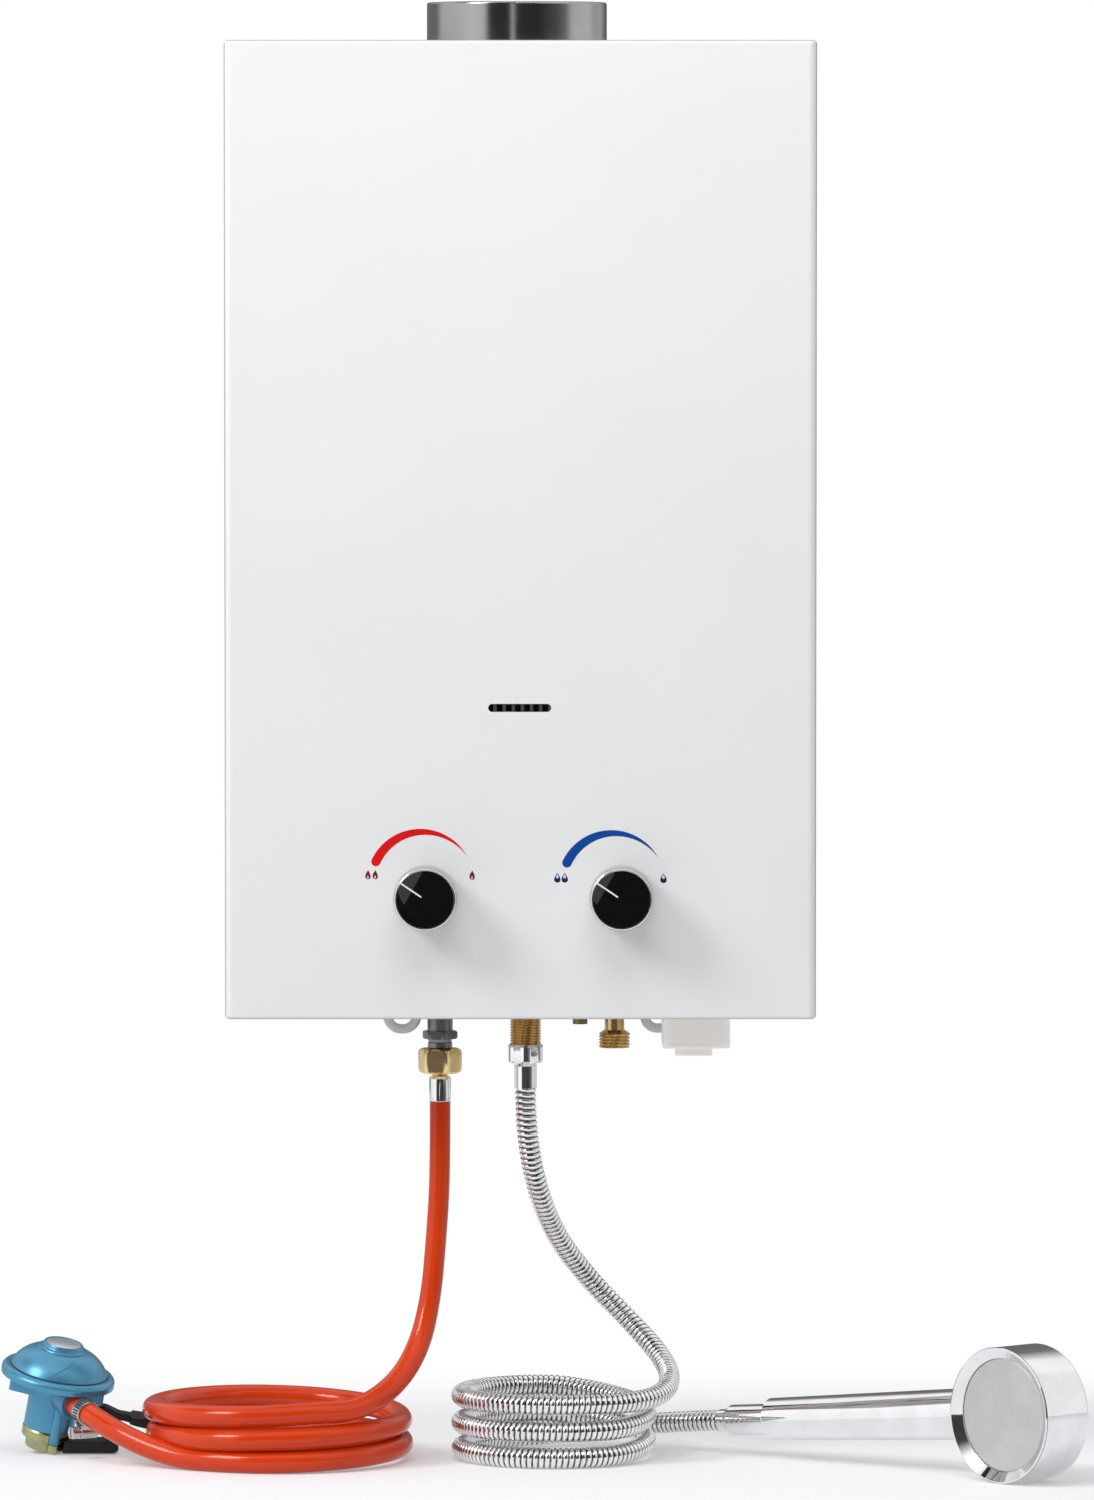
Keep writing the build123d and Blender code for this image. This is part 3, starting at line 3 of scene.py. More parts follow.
import bmesh
import bpy
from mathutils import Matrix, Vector


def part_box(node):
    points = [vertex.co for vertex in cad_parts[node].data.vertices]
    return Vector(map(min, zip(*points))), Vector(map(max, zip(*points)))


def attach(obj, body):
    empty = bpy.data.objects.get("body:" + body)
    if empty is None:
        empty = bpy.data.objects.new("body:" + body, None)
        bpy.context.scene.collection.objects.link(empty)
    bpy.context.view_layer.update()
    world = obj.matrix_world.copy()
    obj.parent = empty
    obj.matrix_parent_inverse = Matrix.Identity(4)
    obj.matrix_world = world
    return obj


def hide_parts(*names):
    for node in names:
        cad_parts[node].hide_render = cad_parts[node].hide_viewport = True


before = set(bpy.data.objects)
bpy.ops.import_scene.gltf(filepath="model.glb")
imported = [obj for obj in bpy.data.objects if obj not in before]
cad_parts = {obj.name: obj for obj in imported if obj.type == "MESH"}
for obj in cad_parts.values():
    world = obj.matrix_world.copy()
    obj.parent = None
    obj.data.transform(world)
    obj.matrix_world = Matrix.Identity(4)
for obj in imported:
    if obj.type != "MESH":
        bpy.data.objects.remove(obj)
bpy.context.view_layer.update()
scene = bpy.context.scene
scene.view_settings.view_transform = "Standard"

# ---- camera and room ----
# The heater hangs over a white table top and is seen square on from about seven metres away
# with a long lens. A softbox at the upper left and a broad one above light it.
MM = 0.001


def linked(name, data):
    """A new object of the scene."""
    thing = bpy.data.objects.new(name, data)
    scene.collection.objects.link(thing)
    return thing


camera = linked("camera", bpy.data.cameras.new("camera"))
camera.location = (0.0175, -7.17, -0.119)
camera.rotation_euler = (radians(90 - 2.96), 0, 0)
camera.data.lens = 255.3
camera.data.clip_end = 60
scene.camera = camera


def area_lamp(name, place, aim, size, power, mirrored=True):
    """A square softbox that looks at a point; mirrored where polished metal shows it."""
    lamp = linked(name, bpy.data.lights.new(name, "AREA"))
    lamp.data.shape = "SQUARE"
    lamp.data.size = size
    lamp.data.energy = power
    lamp.location = place
    lamp.rotation_euler = (Vector(aim) - Vector(place)).to_track_quat("-Z", "Y").to_euler()
    lamp.visible_glossy = mirrored


area_lamp("key_softbox", (-2.65, -1.95, 1.73), (0, -0.17, -0.45), 1.4, 68)
area_lamp("top_softbox", (0.0, -1.17, 0.75), (0, -0.17, -0.2), 1.0, 8.5, mirrored=False)


def feed(tree, node, inputs):
    """Set each input of a node, or join it to a socket."""
    for key, value in dict(inputs).items():
        if isinstance(value, bpy.types.NodeSocket):
            tree.links.new(value, node.inputs[key])
        else:
            node.inputs[key].default_value = value


def add(tree, kind, inputs=(), **settings):
    """A new node's outputs; a shader node's kind goes without its family's name."""
    node = tree.nodes.new(kind if "Node" in kind else f"ShaderNode{kind}")
    for setting, value in settings.items():
        setattr(node, setting, value)
    feed(tree, node, inputs)
    return node.outputs


def calc(tree, operation, *values):
    """One sum of numbers or sockets."""
    return add(tree, "Math", enumerate(values), operation=operation)[0]


def spread_to(tree, source, low, high, from_low=0.3, from_high=0.7, smooth=False):
    """The range from_low to from_high of a source, laid over low to high."""
    ends = {"From Min": from_low, "From Max": from_high, "To Min": low, "To Max": high}
    kind = "SMOOTHSTEP" if smooth else "LINEAR"
    band = add(tree, "MapRange", {"Value": source, **ends}, interpolation_type=kind)
    return band["Result"]


def between(tree, share, first, second):
    """From the first to the second as the share goes from 0 to 1."""
    return add(tree, "Mix", {0: share, 2: first, 3: second})["Result"]


def shader_between(tree, share, first, second):
    """The same for two shaders."""
    return add(tree, "MixShader", {0: share, 1: first, 2: second})[0]


def sight_of(tree):
    """The ray's kinds, and 1 where it comes from the camera, straight or through glass."""
    ray = add(tree, "LightPath")
    return ray, calc(tree, "MAXIMUM", ray["Is Camera Ray"], ray["Is Transmission Ray"])


def levels(tree, azimuth, stops):
    """The wall's brightness round the table, from (degrees, level) stops."""
    colour = add(tree, "ValToRGB", {0: azimuth})["Color"]
    elements = colour.node.color_ramp.elements
    for degrees, level in stops[1:-1]:
        elements.new(degrees / 360 + 0.5).color = (level, level, level, 1)
    for end, (degrees, level) in ((0, stops[0]), (-1, stops[-1])):
        elements[end].position = degrees / 360 + 0.5
        elements[end].color = (level, level, level, 1)
    return colour


# What polished metal shows of the studio: pale walls at both sides and behind, the dark room in
# front, a pale ceiling with one dark gap at the left, and a small panel over the camera.
world = bpy.data.worlds.new("studio")
scene.world = world
world.use_nodes = True
sky = world.node_tree
sky.nodes.clear()
direction = add(sky, "TexCoord")["Generated"]
to_right, to_back, upward = add(sky, "SeparateXYZ", {0: direction})
to_front = calc(sky, "MULTIPLY", to_back, -1.0)
turn = calc(sky, "DIVIDE", calc(sky, "ARCTAN2", to_right, to_front), tau)
azimuth = calc(sky, "ADD", turn, 0.5)
low_stops = (
    (-180, 0.15), (-166, 0.2), (-124, 0.3), (-112, 0.95), (-96, 1.0), (-62, 1.2), (-42, 1.05),
    (-36, 0.05), (30, 0.05), (52, 0.12), (66, 0.3), (76, 1.0), (106, 1.1), (116, 0.75),
    (136, 0.7), (152, 0.2), (180, 0.15),
)
high_stops = (
    (-180, 0.15), (-166, 0.2), (-152, 0.9), (-120, 0.9), (-110, 1.2), (-42, 1.2), (-30, 0.06),
    (30, 0.06), (42, 1.0), (110, 1.0), (150, 0.9), (166, 0.2), (180, 0.15),
)
low_wall = levels(sky, azimuth, low_stops)
high_wall = levels(sky, azimuth, high_stops)
wall = between(sky, spread_to(sky, upward, 0, 1, 0, 0.55, smooth=True), low_wall, high_wall)
ceiling = spread_to(sky, upward, 0, 1, 0.66, 0.7, smooth=True)
gap_turn = calc(sky, "COMPARE", turn, -100 / 360, 20 / 360)
gap = calc(sky, "MULTIPLY", gap_turn, calc(sky, "COMPARE", upward, 0.735, 0.115))
lit = between(sky, gap, between(sky, ceiling, wall, 1.1), 0.02)
panel_left = calc(sky, "MULTIPLY", to_right, -0.873)
panel_side = calc(sky, "ADD", panel_left, calc(sky, "MULTIPLY", upward, 0.487))
past_side = calc(sky, "GREATER_THAN", panel_side, 0.05)
panel = calc(sky, "MULTIPLY", past_side, calc(sky, "GREATER_THAN", to_front, 0.9905))
lit = calc(sky, "MAXIMUM", lit, panel)
room = add(sky, "Background", {"Color": lit})[0]
soft = add(sky, "Background", {"Color": (0.97, 0.985, 1.0, 1), "Strength": 0.48})
plain = add(sky, "Background", {"Color": (1, 1, 1, 1)})[0]
ray, looked_at = sight_of(sky)
reflected = shader_between(sky, ray["Is Glossy Ray"], soft[0], room)
add(sky, "OutputWorld", {0: shader_between(sky, looked_at, reflected, plain)})

# Table top: one white sheet that keeps the shadows near the object; it is plain white further
# out.
floor_height, front, reach = -0.962, -1.3, 4.0
floor_mesh = bpy.data.meshes.new("floor")
corners = ((-reach, front), (reach, front), (reach, reach), (-reach, reach))
floor_mesh.from_pydata([(x, y, floor_height) for x, y in corners], [], [(0, 1, 2, 3)])
linked("floor", floor_mesh)


def own_place(tree):
    """A point's place on its piece."""
    return add(tree, "TexCoord")["Object"]


def own_axes(tree):
    """The same place as three coordinates."""
    return add(tree, "SeparateXYZ", {0: own_place(tree)})


sweep = bpy.data.materials.new("white_table_top")
sweep.use_nodes = True
paper = sweep.node_tree
paper.nodes.clear()
ray, looked_at = sight_of(paper)
glow_seen = calc(paper, "MULTIPLY", looked_at, 0.235)
glow_mirrored = calc(paper, "MULTIPLY", ray["Is Glossy Ray"], 0.3)
lift = calc(paper, "ADD", glow_seen, glow_mirrored)
matt = add(paper, "BsdfDiffuse", {"Color": (0.8, 0.8, 0.82, 1)})[0]
glow = add(paper, "Emission", {"Color": (1, 1, 1, 1), "Strength": lift})[0]
near = add(paper, "AddShader", {0: matt, 1: glow})[0]
white = add(paper, "Emission", {"Color": (1, 1, 1, 1)})[0]
away = add(paper, "VectorMath", {0: own_place(paper)}, operation="LENGTH")
behind_object = spread_to(paper, own_axes(paper)["Y"], 0, 1, 0.04, 0.5, smooth=True)
far_out = spread_to(paper, away["Value"], 0, 1, 1.25, 2.1)
far = calc(paper, "MULTIPLY", calc(paper, "MAXIMUM", behind_object, far_out), looked_at)
add(paper, "OutputMaterial", {0: shader_between(paper, far, near, white)})
floor_mesh.materials.append(sweep)

# ---- front cover ----
# One deep-drawn steel sheet, white baked enamel over a fine orange-peel surface. It slides over
# the back pan and is held by screws in its sides.


def noise(tree, place, scale, detail=3.0):
    """A fine random pattern on the piece."""
    values = {"Vector": place, "Scale": scale, "Detail": detail}
    return add(tree, "TexNoise", values)["Fac"]


def tint_between(tree, share, *ends):
    """A tint between two, each a colour or a socket."""
    first, second = [e if isinstance(e, bpy.types.NodeSocket) else (*e, 1) for e in ends]
    tints = {"Factor": share, "A": first, "B": second}
    return add(tree, "Mix", tints, data_type="RGBA")["Result"]


def dress(material, *nodes):
    """Give solids of the model their finish."""
    for node in nodes:
        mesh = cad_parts[node].data
        mesh.materials.clear()
        mesh.materials.append(material)


def surface(
    name, dark, light, on=(), metallic=0.0, rough=(0.5, 0.6), patch=120, grain=1500, relief=0.1,
    depth=0.1, stretch=(1, 1, 1), more=(),
):
    """A finish whose tint and gloss drift between two values, with a relief in millimetres;
    it dresses the solids it is on."""
    material = bpy.data.materials.new(name)
    material.use_nodes = True
    tree = material.node_tree
    mapping = {"Vector": own_place(tree), "Scale": stretch}
    where = add(tree, "Mapping", mapping)["Vector"]
    drift = spread_to(tree, noise(tree, where, patch), 0, 1)
    height = noise(tree, where, grain, 2.0)
    raised = {"Strength": relief, "Distance": depth * MM, "Height": height}
    look = {
        "Metallic": metallic,
        "Coat Roughness": 0.06,
        "Base Color": tint_between(tree, drift, dark, light),
        "Roughness": spread_to(tree, noise(tree, where, patch * 3.7), *rough),
        "Normal": add(tree, "Bump", raised)["Normal"],
    }
    feed(tree, tree.nodes["Principled BSDF"], {**look, **dict(more)})
    dress(material, *on)
    return material


def tint_over(material, share, under=None, over=None):
    """Mix a finish's own tint, the end that isn't given, with another one."""
    tree = material.node_tree
    shader = tree.nodes["Principled BSDF"]
    own = shader.inputs["Base Color"].links[0].from_socket
    feed(tree, shader, {"Base Color": tint_between(tree, share, under or own, over or own)})


white_enamel = surface(
    "white_baked_enamel", (0.85, 0.85, 0.85), (0.87, 0.87, 0.868), ["front_cover"],
    rough=(0.3, 0.36), patch=7, grain=420, relief=0.12, depth=0.04, more={"Coat Weight": 0.15},
)
cover_front = -170.0

# Painted shade: the enamel's tint is darkened to grey along the cover's front edges, standing in
# for the shade that falls on them.
enamel = white_enamel.node_tree
cover_low, cover_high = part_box("front_cover")
cover_middle, half_width = (cover_low[0] + cover_high[0]) / 2, (cover_high[0] - cover_low[0]) / 2
across, deep, up = own_axes(enamel)
to_side = calc(enamel, "ABSOLUTE", calc(enamel, "SUBTRACT", across, cover_middle))
side_edge = spread_to(enamel, to_side, 0, 1, half_width - 0.0011, half_width - 0.0003)
top_edge = spread_to(enamel, up, 0, 1, cover_high[2] - 0.001, cover_high[2] - 0.0003)
foot_edge = spread_to(enamel, up, 0, 1, cover_low[2] + 0.0009, cover_low[2] + 0.0002)
near_front = spread_to(enamel, deep, 1, 0, -0.164, -0.158)
level_edge = calc(enamel, "MAXIMUM", top_edge, foot_edge)
any_edge = calc(enamel, "MAXIMUM", side_edge, level_edge)
painted_edge_shade = calc(enamel, "MULTIPLY", near_front, any_edge)
tint_over(white_enamel, painted_edge_shade, over=(0.4, 0.4, 0.4))


# Dial marks screened on the cover in ink: a tapering red arc for the gas with flames at its
# ends, and a blue one for the water with drops.
def screen_ink(name, dark, light, patch, specular=0.12):
    """Screen ink, which lies on the enamel with little gloss."""
    look = {"rough": (0.42, 0.5), "grain": 1800, "more": {"Specular IOR Level": specular}}
    return surface(f"{name}_screen_ink", dark, light, patch=patch, **look)


red_ink = screen_ink("red", (0.7, 0.006, 0.007), (0.76, 0.01, 0.01), 90)
blue_ink = screen_ink("blue", (0.003, 0.06, 0.31), (0.005, 0.072, 0.35), 90)
flame_ink = screen_ink("flame", (0.17, 0.008, 0.03), (0.23, 0.013, 0.04), 300)
drop_ink = screen_ink("drop", (0.008, 0.016, 0.085), (0.012, 0.024, 0.115), 300)
pale_ink = screen_ink("pale", (0.62, 0.66, 0.74), (0.7, 0.73, 0.8), 300, specular=0.5)


def skin_between(form, first, second):
    """Faces between two rings with the same number of points; one may be a single point."""
    count = max(len(first), len(second))
    for index in range(count):
        corner = (index + 1) % count
        places = ((first, index), (first, corner), (second, corner), (second, index))
        corners = [ring[place % len(ring)] for ring, place in places]
        form.faces.new(tuple(dict.fromkeys(corners)))


def placed(form, points):
    """Points of a form, given in millimetres."""
    return [form.verts.new(Vector(point) * MM) for point in points]


def lofted(rings):
    """A closed form through rings of points, all rings with the same number."""
    form = bmesh.new()
    rings = [placed(form, ring) for ring in rings]
    for ring, following in zip(rings, rings[1:]):
        skin_between(form, ring, following)
    form.faces.new(rings[0])
    form.faces.new(rings[-1])
    return form


def mesh_of(name, form, finish=None):
    """A form as a mesh, with its faces turned outward."""
    bmesh.ops.recalc_face_normals(form, faces=form.faces)
    mesh = bpy.data.meshes.new(name)
    form.to_mesh(mesh)
    form.free()
    if finish:
        mesh.materials.append(finish)
    return mesh


def fitted(name, mesh, body="casing", slot=None, stands_for=None):
    """A piece that rides on a body, and may stand for a solid of the model."""
    piece = linked(name, mesh)
    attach(piece, body)
    if stands_for:
        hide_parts(stands_for)
    return piece


def screened(name, outline, ink, proud=0.06):
    """A mark of ink on the cover's front, from an (x, z) outline in millimetres."""
    depths = (cover_front - proud, cover_front + 0.1)
    form = lofted([[(x, depth, z) for x, z in outline] for depth in depths])
    bmesh.ops.triangulate(form, faces=form.faces[:], ngon_method="EAR_CLIP")
    fitted(name, mesh_of(name, form, ink))


def polar(middle, reach, angle):
    """The point at a reach and an angle from a middle."""
    return middle[0] + reach * cos(angle), middle[1] + reach * sin(angle)


def dial_arc(middle, radius=35.5, start=154.5, end=29.0, width=6.3):
    """Outline of an arc from a round end, clockwise to a point."""
    outer, inner, steps = [], [], 72
    for step in range(steps + 1):
        share = step / steps
        angle = radians(start + (end - start) * share)
        outer.append(polar(middle, radius, angle))
        inner.append(polar(middle, radius - width * (1 - share**1.6), angle))
    first = radians(start)
    end_middle = polar(middle, radius - width / 2, first)
    round_end = [polar(end_middle, width / 2, first + pi * k / 12) for k in range(1, 12)]
    return outer[::-1] + round_end + inner[:-1]


def teardrop(middle, width, height, lean=0.0):
    """Outline of a drop or a flame on its round foot."""
    outline = []
    for step in range(32):
        angle = tau * (step + 0.5) / 32
        up = height / 2 * cos(angle)
        across = width * 0.66 * sin(angle) * abs(sin(angle / 2)) ** 1.3
        outline.append((middle[0] + across + lean * (up / height) ** 2, middle[1] + up))
    return outline


screened("gas_dial_arc", dial_arc((-66.04, -568.5)), red_ink)
screened("water_dial_arc", dial_arc((59.89, -569.36)), blue_ink)
for number, (x, z) in enumerate(((-100.6, -563.2), (-95.8, -563.2), (-31.9, -563.5))):
    screened(f"gas_flame_{number}", teardrop((x, z), 3.7, 6.2, 0.9), flame_ink)
    screened(f"gas_flame_heart_{number}", teardrop((x, z - 1.5), 1.2, 2.0), pale_ink, 0.09)
for number, (x, z) in enumerate(((24.3, -565.2), (29.2, -565.2), (94.3, -565.5))):
    screened(f"water_drop_{number}", teardrop((x, z), 4.4, 6.6), drop_ink)
    screened(f"water_drop_shine_{number}", teardrop((x, z + 1.0), 1.8, 3.1), pale_ink, 0.09)

# ---- back pan and casing screws ----
# The pan is folded from white-coated sheet and carries everything. Ten like screws hold the
# cover in its sides and the flue collar on its top: pan heads with a cross recess, zinc plated.
surface(
    "white_pan_coat", (0.74, 0.74, 0.735), (0.8, 0.8, 0.795), ["back_pan"], rough=(0.42, 0.52),
    patch=12, grain=700, relief=0.15, depth=0.08,
)


def metal(name, dark, light, on=(), **look):
    """A bare or plated metal finish."""
    return surface(name, dark, light, on, 1.0, **look)


screw_zinc = metal(
    "zinc_plated_screw", (0.6, 0.6, 0.61), (0.78, 0.78, 0.79), rough=(0.22, 0.34), patch=400,
    grain=3000, relief=0.12, depth=0.05,
)


def new_tree(name, inputs):
    """An empty Geometry Nodes tree, its input sockets and their identifiers."""
    tree = bpy.data.node_groups.new(name, "GeometryNodeTree")
    keys = {}
    for way in ("INPUT", "OUTPUT"):
        tree.interface.new_socket("Geometry", in_out=way, socket_type="NodeSocketGeometry")
    for label, kind, *value in inputs:
        kind = f"NodeSocket{kind}"
        socket = tree.interface.new_socket(label, in_out="INPUT", socket_type=kind)
        for default in value:
            socket.default_value = default
        keys[label] = socket.identifier
    return tree, add(tree, "NodeGroupInput"), keys


def end_tree(tree, geometry, finish):
    """The tree's end: real geometry in its finish."""
    real = add(tree, "GeometryNodeRealizeInstances", {"Geometry": geometry})["Geometry"]
    painted = add(tree, "GeometryNodeSetMaterial", {"Geometry": real, "Material": finish})
    add(tree, "NodeGroupOutput", {"Geometry": painted["Geometry"]})


def worked_out(source):
    """The mesh that an object's modifiers make, in the object's place."""
    bpy.context.view_layer.update()
    depsgraph = bpy.context.evaluated_depsgraph_get()
    mesh = bpy.data.meshes.new_from_object(source.evaluated_get(depsgraph))
    source.modifiers.clear()
    bpy.data.objects.remove(source)
    return mesh


def patterned(name, source, tree, keys, values, **where):
    """The tree's result over the source, as a plain mesh."""
    modifier = source.modifiers.new("pattern", "NODES")
    modifier.node_group = tree
    for label, value in values.items():
        modifier[keys[label]] = value
    mesh = worked_out(source)
    mesh.name = name
    return fitted(name, mesh, **where)


# One shape at each place, its Z along "outward" and its X along "along", with a random spin.
set_inputs = [("Shape", "Object"), ("Finish", "Material"), ("Most Spin", "Float", 0.0)]
set_inputs.append(("Seed", "Int", 7))
set_tree, given, set_keys = new_tree("shape_at_each_place", set_inputs)
copied = add(set_tree, "GeometryNodeObjectInfo", {"Object": given["Shape"]})["Geometry"]
axes = {}
for attribute, axis in (("outward", "Primary Axis"), ("along", "Secondary Axis")):
    read = add(
        set_tree, "GeometryNodeInputNamedAttribute", {"Name": attribute}, data_type="FLOAT_VECTOR",
    )
    axes[axis] = read["Attribute"]
facing = add(
    set_tree, "FunctionNodeAxesToRotation", axes, primary_axis="Z", secondary_axis="X"
)["Rotation"]
spin_range = {2: 0.0, 3: given["Most Spin"], "Seed": given["Seed"]}
spin = add(set_tree, "FunctionNodeRandomValue", spin_range, data_type="FLOAT")[1]
about = add(set_tree, "FunctionNodeAxisAngleToRotation", {"Axis": (0, 0, 1), "Angle": spin})
both_turns = {"Rotation": facing, "Rotate By": about["Rotation"]}
turned_to = add(set_tree, "FunctionNodeRotateRotation", both_turns, rotation_space="LOCAL")
copies = add(
    set_tree, "GeometryNodeInstanceOnPoints",
    {"Points": given["Geometry"], "Instance": copied, "Rotation": turned_to["Rotation"]},
)
end_tree(set_tree, copies["Instances"], given["Finish"])


def set_out(name, places, form, finish, most_spin=0.0, **where):
    """A form's copies at places, each (point in mm, outward, along), as one mesh."""
    shape = linked("shape", mesh_of("shape", form))
    mesh = bpy.data.meshes.new(f"{name}_places")
    mesh.from_pydata([Vector(point) * MM for point, outward, along in places], [], [])
    for attribute, column in (("outward", 1), ("along", 2)):
        values = mesh.attributes.new(attribute, "FLOAT_VECTOR", "POINT")
        for entry, row in zip(values.data, places):
            entry.vector = row[column]
    chosen = {"Shape": shape, "Finish": finish, "Most Spin": most_spin}
    patterned(name, linked(mesh.name, mesh), set_tree, set_keys, chosen, **where)
    bpy.data.objects.remove(shape)


def ring_at(radius, height, sides):
    """Points of a ring round a shape's own Z axis."""
    turns = [tau * step / sides for step in range(sides)]
    return [(*polar((0, 0), radius, angle), height) for angle in turns]


screw = bmesh.new()
head_top = 1.3
head_profile = ((1.8, -8.0), (1.8, 0.0), (3.8, 0.0), (3.8, 0.45), (3.35, 0.98), (2.6, head_top))
head_rings = [placed(screw, ring_at(radius, height, 20)) for radius, height in head_profile]
screw.faces.new(head_rings[0][::-1])
for below, above in zip(head_rings, head_rings[1:]):
    skin_between(screw, below, above)
arm_width, arm_reach, recess, recess_taper = 0.42, 1.9, 1.0, 0.75
cross = []
for quarter in range(4):
    for x, y in ((arm_reach, -arm_width), (arm_reach, arm_width), (arm_width, arm_width)):
        for _ in range(quarter):
            x, y = -y, x
        cross.append((x, y))
upper_cross = placed(screw, [(x, y, head_top) for x, y in cross])
recess_floor = [(x * recess_taper, y * recess_taper, head_top - recess) for x, y in cross]
lower_cross = placed(screw, recess_floor)
skin_between(screw, upper_cross, lower_cross)
screw.faces.new(lower_cross)
rims = []
for ring in (head_rings[-1], upper_cross):
    rims += [screw.edges.get(pair) for pair in zip(ring, ring[1:] + ring[:1])]
bmesh.ops.triangle_fill(screw, edges=rims, use_beauty=True)
cover_side, cover_top, collar_flange = 195.02, -14, -15.58
collar_middle, collar_bolts = (-2.5, -85.0), 66.8
screw_places = []
for side in (-1, 1):
    for drop in (60, 322.5, 585):
        point = (side * cover_side, -12, cover_top - drop)
        screw_places.append((point, (side, 0, 0), (0, 1, 0)))
for quarter in range(4):
    point = (*polar(collar_middle, collar_bolts, radians(45 + 90 * quarter)), collar_flange)
    screw_places.append((point, (0, 0, 1), (1, 0, 0)))
set_out(
    "casing_screws_crossed", screw_places, screw, screw_zinc, pi / 2, slot="screw_steel",
    stands_for="casing_screws",
)

# ---- flue collar ----
# Spun steel ring with a rolled top edge and a flat flange that is screwed to the pan's top,
# black baked enamel.
collar_black = metal(
    "collar_black_enamel", (0.34, 0.34, 0.35), (0.38, 0.38, 0.39), ["flue_collar"],
    rough=(0.14, 0.18), patch=30, grain=500, relief=0.04, depth=0.04,
)

# ---- hood, heat exchanger and burner behind the cover ----
# Galvanised hood over a copper block of fins, whose tube winds round the chamber and rises to
# the block. Below it, nine stainless bars burn the gas over an aluminised tray.


def spangled(name, dark, light, node):
    """Hot-dip zinc: flat crystals a few millimetres wide, each at its own brightness."""
    look = {"rough": (0.34, 0.46), "patch": 60, "grain": 800, "depth": 0.06}
    tree = metal(name, dark, light, [node], **look).node_tree
    where = {"Scale": 170, "Vector": own_place(tree)}
    crystals = add(tree, "TexVoronoi", where)["Distance"]
    tint = tint_between(tree, spread_to(tree, crystals, 0, 1, 0.1, 0.7), dark, light)
    feed(tree, tree.nodes["Principled BSDF"], {"Base Color": tint})


spangled("galvanised_sheet", (0.5, 0.51, 0.52), (0.7, 0.71, 0.72), "fume_hood")
metal(
    "bare_copper", (0.56, 0.25, 0.14), (0.78, 0.44, 0.3),
    ["heat_exchanger", "exchanger_tube", "combustion_chamber", "chamber_coil", "cold_pipe",
     "hot_pipe"],
    rough=(0.26, 0.42), patch=22, grain=700, depth=0.06,
)
spangled("aluminised_sheet", (0.5, 0.5, 0.51), (0.6, 0.6, 0.61), "burner_tray")
metal(
    "stainless_bar", (0.38, 0.35, 0.31), (0.56, 0.55, 0.53), ["burner_bars"], rough=(0.28, 0.4),
    patch=30, grain=500, depth=0.05, stretch=(1, 1, 6),
)
metal(
    "die_cast_manifold", (0.58, 0.58, 0.59), (0.7, 0.7, 0.71), ["gas_manifold"], rough=(0.36, 0.48),
    patch=60, grain=1400, relief=0.25,
)
surface(
    "fired_ceramic", (0.84, 0.81, 0.76), (0.92, 0.9, 0.86), ["electrodes"], rough=(0.3, 0.42),
    patch=200,
)

# ---- sight slot grille ----
# Punched strip of satin steel, held behind the sight slot of the cover. The burner's flame
# shows through its holes.
metal(
    "satin_grille_steel", (0.17, 0.17, 0.17), (0.22, 0.22, 0.22), ["window_grille"],
    rough=(0.4, 0.48), patch=80, grain=900, relief=0.12, depth=0.05, stretch=(8, 1, 1),
)

# ---- valves, igniter and spindles ----
# Die-cast gas valve and brass water valve stand side by side over the foot plate. The water
# valve's rod opens the gas valve; a box of potted electronics sparks the electrodes.
metal(
    "die_cast_valve", (0.54, 0.54, 0.55), (0.68, 0.68, 0.69), ["gas_valve"], rough=(0.38, 0.5),
    patch=50, grain=1300, relief=0.3, depth=0.12,
)
metal(
    "machined_brass", (0.62, 0.42, 0.17), (0.8, 0.6, 0.3), ["water_valve"], rough=(0.18, 0.3),
    patch=90, relief=0.08, depth=0.04,
)
metal(
    "ground_rod_steel", (0.62, 0.62, 0.63), (0.76, 0.76, 0.77),
    ["push_rod", "gas_spindle", "water_spindle"], rough=(0.16, 0.24), patch=150, grain=1600,
    relief=0.08, depth=0.03, stretch=(1, 5, 1),
)
surface(
    "black_igniter_case", (0.07, 0.07, 0.078), (0.1, 0.1, 0.108), ["igniter_box"],
    rough=(0.48, 0.6), grain=1600, relief=0.2,
)

# ---- fittings under the casing ----
# Turned brass and plated steel: the gas inlet with its union nut, hose tail and crimped ferrule,
# the hot outlet with the shower hose's nut and ferrule, the free cold inlet and the drain plug.
fitting_y = -75.0
gas_x, hot_x, cold_x = -54.0, 3.2, 62.6


def hexagon_side(angle, half, corner_radius):
    """How far a hexagon with rounded corners reaches, at an angle from one of them."""
    sixth = pi / 6
    from_corner = (angle + sixth) % (pi / 3) - sixth
    corner_place = (half - corner_radius) / cos(sixth)
    if abs(from_corner) >= sixth - atan(corner_place / 2 / half):
        return half / cos(sixth - abs(from_corner))
    edge = corner_radius**2 - (corner_place * sin(from_corner)) ** 2
    return corner_place * cos(from_corner) + sqrt(edge)


